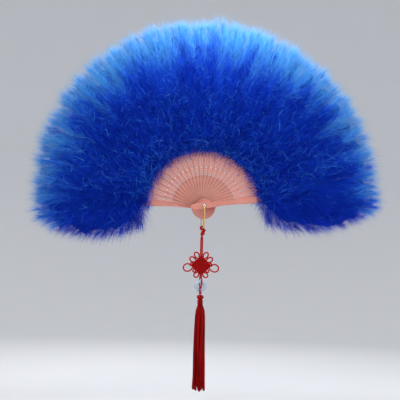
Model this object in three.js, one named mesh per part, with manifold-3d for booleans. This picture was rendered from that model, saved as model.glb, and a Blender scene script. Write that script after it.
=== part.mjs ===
// Folding feather fan: pierced plastic sticks between two plain guards on one rivet, a feather plume on
// every stick, and a wire bail with a knotted cord, a ring and a tassel. Millimetres and degrees, +Z up.
// The origin is on the rivet's axis at the middle of the stack. The front of the fan faces -Y.
import * as THREE from 'three';
import { mergeVertices } from 'three/addons/utils/BufferGeometryUtils.js';
import Module from 'manifold-3d';

const wasm = await Module();
wasm.setup();

// How the open fan is laid out
const stickCount = 23;
const stickStep = 7.02;
const frontGuardAngle = 8.9;
const frontGuardGap = 8.1;
const rearGuardGap = 6.2;

// Clearances
const plateGap = 0.3;
const pinClearance = 0.3;
const padClearance = 0.3;
const plumeGap = 0.4;
const hookClearance = 0.3;

// Heads below the rivet: those of the sticks line up a little inside those of the guards
const guardHeadReach = 24.8;
const headInset = 1.3;
const headReach = guardHeadReach - headInset;

// Pierced stick
const stickThickness = 0.6;
const headWidth = 10.5;
const neckAt = 15;
const neckWidth = 7.4;
const bellyAt = 36;
const bellyWidth = 8.8;
const waistAt = 51;
const waistWidth = 8;
const shoulderAt = 92;
const shoulderWidth = 12.2;
const shoulderRun = 7.5;
const tangWidth = 8.6;
const tipAt = 178;
const tipWidth = 5;

// Holes pierced in a stick, from the hub outwards
const squareFromWaist = 18;
const squareSize = 2.6;
const slitRows = 2;
const slitFromSquare = 5.5;
const slitPitch = 5;
const slitLength = 3.4;
const slitWidth = 1;
const slotFromSlits = 8;
const slotLength = 4.8;
const slotWidth = 1.4;
const pierceWeb = 1;
const pierceSlant = 55;
const diamondFromSlots = 7.5;
const diamondSize = 2.6;

// Plain guard
const guardThickness = 1.6;
const guardBevel = 0.3;
const guardWaistWidth = 8.4;
const guardShoulderWidth = 12.4;
const guardHeadWidth = 10.4;
const guardTipWidth = 6;
const panelHeight = 0.6;
const panelFrom = 16;
const panelPastShoulder = 2;
const panelBorder = 0.8;

// Rivet
const shankRadius = 1.2;
const rivetHeadRadius = 2.4;
const rivetHeadHeight = 1.4;
const rivetRimHeight = 0.4;
const capSocket = 0.6;
const capHeight = 1.6;
const capRimHeight = 0.8;

// Bail
const wireRadius = 1.5;
const bailDrop = 38;
const bailCornerRadius = 5;
const eyeRadius = 3.3;
const eyeThickness = 0.9;

// Plumes, with the shares of their length and depth that give them their shape
const plumeFromTang = 1.5;
const plumeReach = 304;
const plumeReachUp = 23;
const plumeReachRight = 11;
const plumeRootDepth = 13;
const plumeFullDepth = 30;
const plumeTipDepth = 7;
const plumeFullAt = 0.45;
const plumeThinAt = 0.75;
const plumeThinDepth = 26;
const plumeCorner = 0.62;
const plumeTipShare = 0.55;
const lobeDrop = 70;
const lobeFrom = 0.1;
const lobeTo = 0.97;
const lobeRoundness = 0.62;

// Ribbon that links the sticks inside the feathers
const ribbonRadius = 150;
const ribbonWidth = 8;
const ribbonThickness = 0.25;

// Pendant
const cordDiameter = 2;
const hitchOffset = 5.5;
const strandOffset = 1.35;
const knotFromBail = 66;
const knotRows = 7;
const knotSpacing = 4;
const weaveDepth = 1.4;
const crossingShare = 0.25;
const earRoot = 0.35;
const ringFromKnot = 35.3;
const ringOuterRadius = 10.8;
const ringHoleRadius = 4;
const ringThickness = 4.6;
const tasselFromRing = 14.9;
const tasselHeadRadius = 6.2;
const tasselHeadHeight = 9.2;
const collarRadius = 4.9;
const collarHeight = 7.4;
const collarEdge = 1;
const skirtLength = 152;
const skirtTopRadius = 8.8;
const skirtMiddleRadius = 10.6;
const skirtBottomRadius = 13;
const skirtFlutes = 18;
const fluteDepth = 0.12;
const tasselGap = 0.3;

// What follows from those sizes
const radians = THREE.MathUtils.degToRad;
const stickPitch = stickThickness + plateGap;
const stackInside = (stickCount * stickPitch + plateGap) / 2;
const stackHalf = stackInside + guardThickness;
const bailFace = stackHalf + hookClearance;
const boreRadius = shankRadius + pinClearance;
const wireCentre = bailFace + wireRadius;
const headSeat = bailFace + eyeThickness + hookClearance;
const tangAt = shoulderAt + shoulderRun;
const squareAt = waistAt + squareFromWaist;
const slitAt = squareAt + slitFromSquare;
const slotAt = slitAt + (slitRows - 1) * slitPitch + slotFromSlits;
const diamondAt = slotAt + diamondFromSlots;
const panelTo = shoulderAt + panelPastShoulder;
const plumeStart = tangAt + plumeFromTang;
const ribbonSeat = stickThickness / 2 + plateGap + ribbonThickness;
const barZ = -bailDrop;
const knotCentre = barZ - knotFromBail;
const ringCentre = knotCentre - ringFromKnot;
const tasselTop = ringCentre - tasselFromRing;
const firstStickAngle = frontGuardAngle + frontGuardGap;
const rearGuardAngle = firstStickAngle + (stickCount - 1) * stickStep + rearGuardGap;

// Finishes
const finish = (color, roughness, metalness) => (
  new THREE.MeshStandardMaterial({ color, roughness, metalness })
);
const pinkPlastic = finish(0xe2a08f, 0.42, 0);
const blueFeather = finish(0x1044c8, 0.85, 0);
const blueRibbon = finish(0x0c2c86, 0.6, 0);
const brass = finish(0xc9a24a, 0.3, 1);
const brightRivet = finish(0xd8d8da, 0.18, 1);
const redCord = finish(0xb01218, 0.6, 0);
const redThread = finish(0x9c0c10, 0.55, 0);
const whiteRing = finish(0xdfe6ea, 0.2, 0);

// A closed mesh as a solid for cutting and joining, and back again
function solidOf(geometry) {
  const bare = geometry.index ? geometry.toNonIndexed() : geometry.clone();
  bare.deleteAttribute('normal');
  bare.deleteAttribute('uv');
  const merged = mergeVertices(bare, 1e-4);
  return new wasm.Manifold(new wasm.Mesh({
    numProp: 3,
    vertProperties: new Float32Array(merged.attributes.position.array),
    triVerts: new Uint32Array(merged.index.array),
  }));
}

function geometryOf(solid) {
  const mesh = solid.getMesh();
  const geometry = new THREE.BufferGeometry();
  geometry.setAttribute('position', new THREE.BufferAttribute(new Float32Array(mesh.vertProperties), 3));
  geometry.setIndex(new THREE.BufferAttribute(new Uint32Array(mesh.triVerts), 1));
  geometry.computeVertexNormals();
  return geometry;
}

// Rings of points joined into one closed skin, each ring turning right-handed about the way the rings run
function loft(rings) {
  const count = rings[0].length;
  const points = rings.flat();
  const faces = [];
  for (let i = 0; i + 1 < rings.length; i += 1) {
    for (let j = 0; j < count; j += 1) {
      const a = i * count + j;
      const b = i * count + (j + 1) % count;
      faces.push(a, b, b + count, a, b + count, a + count);
    }
  }
  const middle = (ring) => ring.reduce((sum, p) => sum.add(p), new THREE.Vector3()).divideScalar(count);
  const first = points.push(middle(rings[0])) - 1;
  const last = points.push(middle(rings[rings.length - 1])) - 1;
  const lastRing = (rings.length - 1) * count;
  for (let j = 0; j < count; j += 1) {
    const next = (j + 1) % count;
    faces.push(first, next, j, last, lastRing + j, lastRing + next);
  }
  const geometry = new THREE.BufferGeometry().setFromPoints(points);
  geometry.setIndex(faces);
  geometry.computeVertexNormals();
  return geometry;
}

// A round bar of the given radius along a line of points, its section carried along without twisting
function sweep(line, radius, sides) {
  const point = (i) => line[THREE.MathUtils.clamp(i, 0, line.length - 1)];
  const heading = (i) => point(i + 1).clone().sub(point(i - 1)).normalize();
  let along = heading(0);
  const across = new THREE.Vector3(1, 0, 0).addScaledVector(along, -along.x).normalize();
  const rings = line.map((centre, i) => {
    const next = heading(i);
    across.applyQuaternion(new THREE.Quaternion().setFromUnitVectors(along, next));
    across.addScaledVector(next, -across.dot(next)).normalize();
    along = next;
    const up = new THREE.Vector3().crossVectors(along, across);
    return Array.from({ length: sides }, (_, j) => {
      const turn = 2 * Math.PI * j / sides;
      return centre.clone()
        .addScaledVector(across, radius * Math.cos(turn))
        .addScaledVector(up, radius * Math.sin(turn));
    });
  });
  return loft(rings);
}

// A flat plate centred on y = 0: the outline's first axis runs along +X and its second along +Z
function plate(outline, holes, thickness, bevel = 0) {
  const shape = new THREE.Shape(outline);
  shape.holes = holes;
  const geometry = new THREE.ExtrudeGeometry(shape, {
    depth: thickness - 2 * bevel,
    bevelEnabled: bevel > 0,
    bevelSegments: 1,
    bevelThickness: bevel,
    bevelSize: bevel,
    bevelOffset: -bevel,
    curveSegments: 5,
  });
  geometry.translate(0, 0, bevel - thickness / 2);
  return geometry.rotateX(Math.PI / 2);
}

// A mirrored outline through [distance from the pivot, half width], smoothed along each side
function mirroredOutline(stations, points) {
  const corners = stations.map(([u, half]) => new THREE.Vector2(u, -half));
  const edge = new THREE.SplineCurve(corners).getPoints(points);
  const other = edge.slice(1).reverse().map((p) => new THREE.Vector2(p.x, -p.y));
  return [...edge, ...other];
}

// The rounded head that sticks and guards share, as stations for an outline
function headStations(reach, width) {
  const taper = [[1, 0], [0.9, 0.55], [0.65, 0.97], [0.32, 1.08], [0, 1]];
  return taper.map(([along, across]) => [-reach * along, across * width / 2]);
}

const bore = () => new THREE.Path().absarc(0, 0, boreRadius, 0, 2 * Math.PI, true);

// A four-cornered hole of the given length and width, turned from the stick's own line
function slit(u, v, length, width, turn) {
  const centre = new THREE.Vector2(u, v);
  const corners = [[-1, -1], [1, -1], [1, 1], [-1, 1]].map(([a, b]) => (
    new THREE.Vector2(u + a * length / 2, v + b * width / 2).rotateAround(centre, radians(turn))
  ));
  return new THREE.Path(corners);
}

// Pierced stick: rounded head below the rivet, narrow neck, wide pierced shoulder, thin tang in the plume
function stickGeometry() {
  const stations = [
    ...headStations(headReach, headWidth),
    [neckAt, neckWidth / 2],
    [bellyAt, bellyWidth / 2],
    [waistAt, waistWidth / 2],
    [shoulderAt, shoulderWidth / 2],
    [tangAt, tangWidth / 2],
    [tipAt, tipWidth / 2],
  ];
  const holes = [bore(), slit(squareAt, 0, squareSize, squareSize, 0)];
  const slant = radians(pierceSlant);
  const offset = (length, width) => (pierceWeb + length * Math.sin(slant) + width * Math.cos(slant)) / 2;
  const pair = (u, length, width) => {
    for (const side of [-1, 1]) {
      holes.push(slit(u, side * offset(length, width), length, width, side * pierceSlant));
    }
  };
  for (let row = 0; row < slitRows; row += 1) {
    pair(slitAt + row * slitPitch, slitLength, slitWidth);
  }
  pair(slotAt, slotLength, slotWidth);
  holes.push(slit(diamondAt, 0, diamondSize, diamondSize, 45));
  return plate(mirroredOutline(stations, 2 * (stations.length - 1)), holes, stickThickness);
}

// Plain guard with bevelled edges and a raised flat panel on its outer side, which is -Y before it is turned
function guardGeometry() {
  const neckHalf = (guardHeadWidth + guardWaistWidth) / 4;
  const waistHalf = guardWaistWidth / 2;
  const shoulderHalf = guardShoulderWidth / 2;
  const stations = [
    ...headStations(guardHeadReach, guardHeadWidth),
    [panelFrom, neckHalf],
    [waistAt, waistHalf],
    [panelTo, shoulderHalf],
    [tangAt, tangWidth / 2],
    [tipAt, guardTipWidth / 2],
  ];
  const outline = mirroredOutline(stations, 2 * (stations.length - 1));
  const blade = solidOf(plate(outline, [bore()], guardThickness, guardBevel));
  const noseAt = panelTo - shoulderHalf;
  const noseHalf = THREE.MathUtils.mapLinear(noseAt, waistAt, panelTo, waistHalf, shoulderHalf);
  const panelEdge = [
    [panelFrom + neckHalf, neckHalf - panelBorder],
    [waistAt, waistHalf - panelBorder],
    [noseAt, noseHalf - panelBorder],
  ];
  const panelOutline = [
    [panelFrom, 0],
    ...panelEdge,
    [panelTo, 0],
    ...panelEdge.toReversed().map(([u, v]) => [u, -v]),
  ].map(([u, v]) => new THREE.Vector2(u, v));
  const panelThickness = panelHeight + guardThickness / 2;
  const panel = plate(panelOutline, [], panelThickness).translate(0, -panelThickness / 2, 0);
  return geometryOf(blade.add(solidOf(panel)));
}

// The leaves from front to rear: each blade with its plume, its angle when open and its depth in the stack
const guardY = stackInside + guardThickness / 2;
const leaves = [{ name: 'front_guard', plume: 'plume_front', angle: frontGuardAngle, y: -guardY }];
for (let k = 0; k < stickCount; k += 1) {
  const label = String(k + 1).padStart(2, '0');
  const y = (k - (stickCount - 1) / 2) * stickPitch;
  leaves.push({ name: `stick_${label}`, plume: `plume_${label}`, angle: firstStickAngle + k * stickStep, y });
}
leaves.push({ name: 'rear_guard', plume: 'plume_rear', angle: rearGuardAngle, y: guardY });
const frontLeaf = leaves[0];
const rearLeaf = leaves[leaves.length - 1];
const isGuard = (leaf) => leaf === frontLeaf || leaf === rearLeaf;

// Depth of the linking ribbon where it is glued to each leaf: behind a stick, inside a guard
const guardSeat = guardThickness / 2 + ribbonSeat - stickThickness / 2;
for (const leaf of leaves) {
  leaf.ribbonY = leaf.y + ribbonSeat;
}
frontLeaf.ribbonY = frontLeaf.y + guardSeat;
rearLeaf.ribbonY = rearLeaf.y - guardSeat;

// Angle from a leaf to its plume's edge beside a neighbour: half a step on a stick, the rest on a guard
function edgeBetween(leaf, other) {
  return isGuard(leaf) ? Math.abs(other.angle - leaf.angle) - stickStep / 2 : stickStep / 2;
}

// Plume: the bundle of feathers glued round one stick's tang, as a wedge that swells and rounds off.
// The sides lie on radial lines to the neighbours, and a guard's outer side hangs in a lobe.
function plumeGeometry(index) {
  const leaf = leaves[index];
  const before = leaves[index - 1];
  const after = leaves[index + 1];
  const turn = radians(leaf.angle);
  const reach = plumeReach + plumeReachUp * Math.sin(turn) + plumeReachRight * Math.cos(turn);
  const run = reach - plumeStart;
  const lobe = (t) => (
    lobeDrop * Math.sin(Math.PI * THREE.MathUtils.lerp(lobeFrom, lobeTo, t)) ** lobeRoundness
  );
  const side = (other, u, t) => (
    other ? u * Math.tan(radians(edgeBetween(leaf, other))) - plumeGap / 2 : lobe(t)
  );
  const depths = new THREE.SplineCurve([
    new THREE.Vector2(0, plumeRootDepth),
    new THREE.Vector2(plumeFullAt, plumeFullDepth),
    new THREE.Vector2(plumeThinAt, plumeThinDepth),
    new THREE.Vector2(1, plumeTipDepth),
  ]);
  const quarter = [[1, plumeCorner], [0.5, 1], [-0.5, 1], [-1, plumeCorner]];
  const corners = [...quarter, ...quarter.map(([deep, across]) => [-deep, -across])];
  const stations = [0, 0.12, 0.3, 0.55, 0.8, 0.94, 1];
  const rings = stations.map((t) => {
    const u = plumeStart + run * t;
    const draw = t === 1 ? plumeTipShare : 1;
    const high = side(after, u, t) * draw;
    const low = -side(before, u, t) * draw;
    const depth = depths.getPoint(t).y;
    return corners.map(([deep, across]) => (
      new THREE.Vector3(u, deep * depth, (high + low) / 2 + across * (high - low) / 2)
    ));
  });
  return geometryOf(solidOf(loft(rings)).subtract(tangPocket(leaf)).subtract(ribbonSlot(index)));
}

// Room for the stick's tang in its plume
function tangPocket(leaf) {
  const thickness = isGuard(leaf) ? guardThickness : stickThickness;
  const endWidth = isGuard(leaf) ? guardTipWidth : tipWidth;
  const from = plumeStart - 1;
  const to = tipAt + padClearance;
  const halfFrom = tangWidth / 2 + padClearance;
  const halfTo = endWidth / 2 + padClearance;
  const outline = [[from, halfFrom], [to, halfTo], [to, -halfTo], [from, -halfFrom]];
  return solidOf(plate(outline.map(([u, v]) => new THREE.Vector2(u, v)), [], thickness + 2 * padClearance));
}

// Room for the ribbon where it crosses a plume
function ribbonSlot(index) {
  const leaf = leaves[index];
  const spare = ribbonThickness / 2 + padClearance;
  const neighbours = [leaves[index - 1], leaves[index + 1]].filter(Boolean);
  const depths = neighbours.map((other) => {
    const share = edgeBetween(leaf, other) / Math.abs(other.angle - leaf.angle);
    return leaf.ribbonY + (other.ribbonY - leaf.ribbonY) * share - leaf.y;
  });
  depths.push(leaf.ribbonY - leaf.y);
  const near = Math.min(...depths) - spare;
  const far = Math.max(...depths) + spare;
  const widest = radians(Math.max(stickStep, frontGuardGap, rearGuardGap));
  const wide = ribbonRadius * Math.tan(widest);
  const short = guardTipWidth / 2 + ribbonWidth / 2;
  const low = leaves[index - 1] ? -wide : -short;
  const high = leaves[index + 1] ? wide : short;
  const inner = (ribbonRadius - ribbonWidth / 2) * Math.cos(widest) - padClearance;
  const outer = ribbonRadius + ribbonWidth / 2 + padClearance;
  const corners = [[inner, low], [outer, low], [outer, high], [inner, high]];
  const outline = corners.map(([u, v]) => new THREE.Vector2(u, v));
  return solidOf(plate(outline, [], far - near).translate(0, (near + far) / 2, 0));
}

// Linking ribbon: one strip glued behind the tangs, which stops the fan from opening further
function ribbonGeometry() {
  const overlap = THREE.MathUtils.radToDeg(guardTipWidth / 2 / ribbonRadius);
  const stops = [
    { angle: frontLeaf.angle - overlap, y: frontLeaf.ribbonY },
    ...leaves.map((leaf) => ({ angle: leaf.angle, y: leaf.ribbonY })),
    { angle: rearLeaf.angle + overlap, y: rearLeaf.ribbonY },
  ];
  const rings = stops.map(({ angle, y }) => {
    const away = new THREE.Vector3(Math.cos(radians(angle)), 0, Math.sin(radians(angle)));
    const corner = (across, deep) => away.clone()
      .multiplyScalar(ribbonRadius + across * ribbonWidth / 2)
      .setY(y + deep * ribbonThickness / 2);
    return [corner(-1, -1), corner(1, -1), corner(1, 1), corner(-1, 1)];
  });
  return loft(rings);
}

// Rivet: domed head in front, shank through every plate
function rivetGeometry() {
  const crown = rivetHeadHeight - rivetRimHeight;
  const dome = [0, 0.35, 0.7, 0.92, 1].map((t) => new THREE.Vector2(
    rivetHeadRadius * t, -headSeat - rivetRimHeight - crown * Math.sqrt(1 - t * t),
  ));
  const shankEnd = headSeat + capSocket;
  return new THREE.LatheGeometry([
    ...dome,
    new THREE.Vector2(rivetHeadRadius, -headSeat),
    new THREE.Vector2(shankRadius, -headSeat),
    new THREE.Vector2(shankRadius, shankEnd),
    new THREE.Vector2(0, shankEnd),
  ], 12);
}

// Cap pressed on the shank's rear end
function rivetCapGeometry() {
  const inside = headSeat + capSocket + pinClearance;
  return new THREE.LatheGeometry([
    new THREE.Vector2(0, inside),
    new THREE.Vector2(boreRadius, inside),
    new THREE.Vector2(boreRadius, headSeat),
    new THREE.Vector2(rivetHeadRadius, headSeat),
    new THREE.Vector2(rivetHeadRadius, headSeat + capRimHeight),
    new THREE.Vector2(boreRadius, headSeat + capHeight - pinClearance),
    new THREE.Vector2(0, headSeat + capHeight),
  ], 12);
}

// Bail: one bent wire with a flattened eye at each end
function bailGeometry() {
  const top = -(rivetHeadRadius + hookClearance);
  const corner = bailCornerRadius;
  const bend = [0, 22.5, 45, 67.5, 90].map((degrees) => new THREE.Vector3(
    0,
    -(wireCentre - corner) - corner * Math.cos(radians(degrees)),
    barZ + corner - corner * Math.sin(radians(degrees)),
  ));
  const front = [new THREE.Vector3(0, -wireCentre, top), ...bend];
  const rear = front.map((p) => new THREE.Vector3(p.x, -p.y, p.z)).reverse();
  let body = solidOf(sweep([...front, ...rear], wireRadius, 8));
  for (const side of [-1, 1]) {
    const eye = new THREE.CylinderGeometry(eyeRadius, eyeRadius, eyeThickness, 16);
    body = body.add(solidOf(eye.translate(0, side * (bailFace + eyeThickness / 2), 0)));
  }
  const hole = new THREE.CylinderGeometry(boreRadius, boreRadius, 4 * wireCentre, 12);
  return geometryOf(body.subtract(solidOf(hole)));
}

// Route of half the pendant cord, from the tassel up to the foot of the hitch, about the pendant's axis.
// It passes behind the ring's lower rim and before its upper rim, then weaves the knot's rows.
function halfRoute() {
  const route = [];
  const add = (x, y, z) => route.push(new THREE.Vector3(x, y, z));
  const ringPass = [
    [-14.2, 0], [-13.1, 0.3], [-12, 1.9], [-10.7, 3.1], [-9, 3.7], [-7, 3.75], [-4.4, 3], [-2, 1.5],
  ];
  for (const [z, y] of ringPass) {
    add(strandOffset, y, ringCentre + z);
  }
  add(strandOffset, 0, ringCentre);
  for (const [z, y] of ringPass.toReversed()) {
    add(strandOffset, -y, ringCentre - z);
  }
  const diagonal = Math.SQRT1_2 * knotSpacing;
  const half = (knotRows - 1) / 2;
  const place = (row, column, depth) => add(
    (column - row) * diagonal, depth, knotCentre - (column + row - 2 * half) * diagonal,
  );
  const over = (row, column) => ((row + column) % 2 === 0 ? -weaveDepth : weaveDepth);
  // Each turn between two rows: its length and width, how far it leans to the front, and how far it turns
  const tight = { length: knotSpacing, width: knotSpacing, lean: 0, turn: 0, points: 4 };
  const turns = [
    tight,
    { length: 9, width: 7.6, lean: 1.2, turn: 0, points: 8 },
    { length: 11, width: 8.2, lean: 1.45, turn: 14, points: 9 },
    { length: 5.4, width: 4.6, lean: -1.45, turn: 0, points: 6 },
    { length: 11, width: 8.2, lean: -1.45, turn: -12, points: 9 },
    { length: 15, width: 13, lean: 0, turn: -28, points: 11 },
  ];
  for (let row = knotRows - 1; row >= 0; row -= 1) {
    const outward = (knotRows - 1 - row) % 2 === 0 ? -1 : 1;
    const from = outward > 0 ? 0 : knotRows - 1;
    for (let step = 0; step < knotRows; step += 1) {
      const column = from + outward * step;
      place(row, column - outward * crossingShare, over(row, column));
      place(row, column + outward * crossingShare, over(row, column));
    }
    if (row > 0) {
      const edge = outward > 0 ? knotRows - 1 : 0;
      const ear = turns[knotRows - 1 - row];
      const open = Math.asin(Math.min(1, knotSpacing / ear.width));
      const depthFrom = over(row, edge);
      for (let step = 1; step < ear.points; step += 1) {
        const share = step / ear.points;
        const phase = (Math.PI - open) * (2 * share - 1);
        const out = (ear.length * (Math.cos(open) + Math.cos(phase)) / 2) / knotSpacing + earRoot;
        const across = (ear.width / 2 * Math.sin(phase)) / knotSpacing;
        const bent = radians(ear.turn) * Math.min(1, out);
        const along = out * Math.cos(bent) + across * Math.sin(bent);
        const sideways = across * Math.cos(bent) - out * Math.sin(bent);
        const depth = depthFrom * (1 - 2 * share) - ear.lean * Math.sin(Math.PI * share);
        place(row - 0.5 - sideways, edge + outward * along, depth);
      }
    }
  }
  const topOfKnot = knotCentre + 2 * half * diagonal;
  add(-1.5, -0.9, topOfKnot + 2.5);
  add(-strandOffset, -0.1, topOfKnot + 6);
  add(-strandOffset, 0, (topOfKnot + barZ) / 2);
  add(-strandOffset, 0, barZ - 20.5);
  add(-1, -1, barZ - 16.8);
  return route;
}

// Hitch of the cord's loop on the bail, about the wire's centre: up in front, over the wire, down behind,
// out under it and across in front as the bight
const hitchRoute = [
  [0.24, -1.32, -13.44], [1.68, -1.32, -9], [2.64, -1.32, -5.4], [2.94, -1.32, -2.4], [2.82, -1.32, 0],
  [2.45, -1.32, 1.42], [1.42, -1.32, 2.45], [0, -1.38, 2.82], [-1.42, -1.44, 2.45], [-2.45, -1.62, 1.42],
  [-2.82, -1.92, 0], [-2.45, -2.52, -1.44], [-1.08, -3.48, -2.88], [1.08, -4.08, -3.3], [3.24, -3.96, -3.6],
  [4.92, -3, -3.96], [5.76, -1.56, -4.2],
];

// Pendant cord: one unbroken cord, tied with two like halves, the second turned half round
function cordRoute() {
  const first = halfRoute();
  const second = first.map((p) => new THREE.Vector3(-p.x, -p.y, p.z)).reverse();
  const up = hitchRoute.map(([x, y, z]) => new THREE.Vector3(x, y, z + barZ));
  const bight = new THREE.Vector3(5.94, 0, -4.26 + barZ);
  const down = up.map((p) => new THREE.Vector3(p.x, -p.y, p.z)).reverse();
  const route = [...first, ...up, bight, ...down, ...second];
  return route.map((p) => p.setY(p.y + hitchOffset));
}

// Least distance between stretches of a line that aren't next to each other, on points close together
function leastGap(line, diameter) {
  const points = [];
  for (let i = 0; i + 1 < line.length; i += 1) {
    for (let step = 0; step < 4; step += 1) {
      points.push(line[i].clone().lerp(line[i + 1], step / 4));
    }
  }
  const run = [0];
  for (let i = 1; i < points.length; i += 1) {
    run.push(run[i - 1] + points[i].distanceTo(points[i - 1]));
  }
  let least = Infinity;
  for (let i = 0; i < points.length; i += 1) {
    for (let j = i + 1; j < points.length; j += 1) {
      if (run[j] - run[i] > 3 * diameter) {
        least = Math.min(least, points[i].distanceTo(points[j]));
      }
    }
  }
  return least - diameter;
}

// Ring: a rounded disc with a hole, hung in the cord
function ringGeometry() {
  const middle = (ringOuterRadius + ringHoleRadius) / 2;
  const wall = (ringOuterRadius - ringHoleRadius) / 2;
  const profile = Array.from({ length: 9 }, (_, i) => new THREE.Vector2(
    middle + wall * Math.cos(Math.PI * i / 4), ringThickness / 2 * Math.sin(Math.PI * i / 4),
  ));
  return new THREE.LatheGeometry(profile, 24).translate(0, hitchOffset, ringCentre);
}

// Tassel: button head, bound collar and a skirt of threads, turned about the pendant's axis
const onPendantAxis = (geometry) => geometry.translate(0, hitchOffset, 0);

function tasselHeadGeometry() {
  const profile = [];
  for (let i = 0; i <= 6; i += 1) {
    const turn = Math.PI * i / 6;
    profile.push(new THREE.Vector2(
      tasselHeadRadius * Math.sin(turn), tasselTop - tasselHeadHeight / 2 * (1 + Math.cos(turn)),
    ));
  }
  return onPendantAxis(new THREE.LatheGeometry(profile, 16).rotateX(Math.PI / 2));
}

function tasselCollarGeometry() {
  const top = tasselTop - tasselHeadHeight - tasselGap;
  const bottom = top - collarHeight;
  const edge = collarRadius - collarEdge;
  const profile = [
    [0, bottom],
    [edge, bottom],
    [collarRadius, bottom + collarEdge],
    [collarRadius, top - collarEdge],
    [edge, top],
    [0, top],
  ];
  const turned = new THREE.LatheGeometry(profile.map(([r, z]) => new THREE.Vector2(r, z)), 16);
  return onPendantAxis(turned.rotateX(Math.PI / 2));
}

function tasselSkirtGeometry() {
  const top = tasselTop - tasselHeadHeight - collarHeight - 2 * tasselGap;
  const radiusAt = new THREE.SplineCurve([
    new THREE.Vector2(0, skirtBottomRadius),
    new THREE.Vector2(0.6, skirtMiddleRadius),
    new THREE.Vector2(0.92, skirtTopRadius),
    new THREE.Vector2(1, collarRadius),
  ]);
  const rings = [0, 0.3, 0.6, 0.8, 0.94, 1].map((t) => Array.from({ length: 2 * skirtFlutes }, (_, i) => {
    const turn = Math.PI * i / skirtFlutes;
    const radius = radiusAt.getPoint(t).y * (i % 2 ? 1 - fluteDepth : 1);
    return new THREE.Vector3(radius * Math.cos(turn), radius * Math.sin(turn), top - skirtLength * (1 - t));
  }));
  return onPendantAxis(loft(rings));
}

// The whole fan, one named mesh for each piece
const fan = new THREE.Group();

function place(parent, name, geometry, material) {
  const mesh = new THREE.Mesh(geometry, material);
  mesh.name = name;
  parent.add(mesh);
}

const stick = stickGeometry();
const guard = guardGeometry();
leaves.forEach((leaf, index) => {
  const holder = new THREE.Group();
  holder.position.y = leaf.y;
  holder.rotation.y = -radians(leaf.angle);
  let blade = stick;
  if (isGuard(leaf)) {
    blade = leaf === frontLeaf ? guard : guard.clone().rotateX(Math.PI);
  }
  place(holder, leaf.name, blade, pinkPlastic);
  place(holder, leaf.plume, plumeGeometry(index), blueFeather);
  fan.add(holder);
});
place(fan, 'linking_ribbon', ribbonGeometry(), blueRibbon);
place(fan, 'rivet', rivetGeometry(), brightRivet);
place(fan, 'rivet_cap', rivetCapGeometry(), brightRivet);
place(fan, 'bail', bailGeometry(), brass);

const cordLine = cordRoute();
console.log(`pendant cord: least gap to itself ${leastGap(cordLine, cordDiameter).toFixed(2)} mm`);
place(fan, 'pendant_cord', sweep(cordLine, cordDiameter / 2, 6), redCord);
place(fan, 'ring', ringGeometry(), whiteRing);
place(fan, 'tassel_head', tasselHeadGeometry(), redCord);
place(fan, 'tassel_collar', tasselCollarGeometry(), redThread);
place(fan, 'tassel_skirt', tasselSkirtGeometry(), redThread);

export default fan;
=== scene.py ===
"""A folding feather fan: its looks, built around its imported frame. Metres, +Z up, the front faces -Y."""
import math

import bmesh
import bpy
import numpy as np
from mathutils import Matrix, Vector


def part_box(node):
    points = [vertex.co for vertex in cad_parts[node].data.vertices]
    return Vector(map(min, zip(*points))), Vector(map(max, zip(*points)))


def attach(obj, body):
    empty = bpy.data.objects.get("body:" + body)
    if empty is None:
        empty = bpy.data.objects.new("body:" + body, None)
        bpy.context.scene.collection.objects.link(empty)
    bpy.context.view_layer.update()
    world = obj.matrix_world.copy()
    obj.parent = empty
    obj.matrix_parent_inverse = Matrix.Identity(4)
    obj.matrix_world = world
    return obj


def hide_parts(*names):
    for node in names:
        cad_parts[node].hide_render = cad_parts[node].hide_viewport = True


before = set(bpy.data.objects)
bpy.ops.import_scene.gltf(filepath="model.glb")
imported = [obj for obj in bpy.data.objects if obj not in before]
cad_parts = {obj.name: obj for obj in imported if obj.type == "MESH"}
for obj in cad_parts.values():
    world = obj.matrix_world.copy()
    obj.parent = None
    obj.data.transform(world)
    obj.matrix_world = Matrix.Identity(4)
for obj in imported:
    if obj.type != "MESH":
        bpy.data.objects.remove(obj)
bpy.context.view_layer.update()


# Camera: a little to the left of the fan and just below the rivet, a metre and a half away and rolled
# slightly, with the rivet where it stands in the picture.
MM = 0.001
VIEW_AZIMUTH = math.radians(-9.0)
VIEW_ELEVATION = math.radians(-5.0)
VIEW_ROLL = math.radians(1.6)
VIEW_DISTANCE = 1.5
PICTURE_SIDE = 400
PIXEL_AT_RIVET = 1.75 * MM
RIVET_PIXEL = (203.2, 206.0)

camera = bpy.data.objects.new("camera", bpy.data.cameras.new("camera"))
bpy.context.scene.collection.objects.link(camera)
bpy.context.scene.camera = camera
view_from = Vector((
    math.sin(VIEW_AZIMUTH) * math.cos(VIEW_ELEVATION),
    -math.cos(VIEW_AZIMUTH) * math.cos(VIEW_ELEVATION),
    math.sin(VIEW_ELEVATION),
))
camera.location = VIEW_DISTANCE * view_from
camera.rotation_mode = "QUATERNION"
roll = Matrix.Rotation(VIEW_ROLL, 3, "Z").to_quaternion()
camera.rotation_quaternion = (-view_from).to_track_quat("-Z", "Y") @ roll
camera.data.angle = 2 * math.atan(PICTURE_SIDE * PIXEL_AT_RIVET / 2 / VIEW_DISTANCE)
camera.data.shift_x = (PICTURE_SIDE / 2 - RIVET_PIXEL[0]) / PICTURE_SIDE
camera.data.shift_y = (RIVET_PIXEL[1] - PICTURE_SIDE / 2) / PICTURE_SIDE
camera.data.clip_start = 0.01


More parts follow.
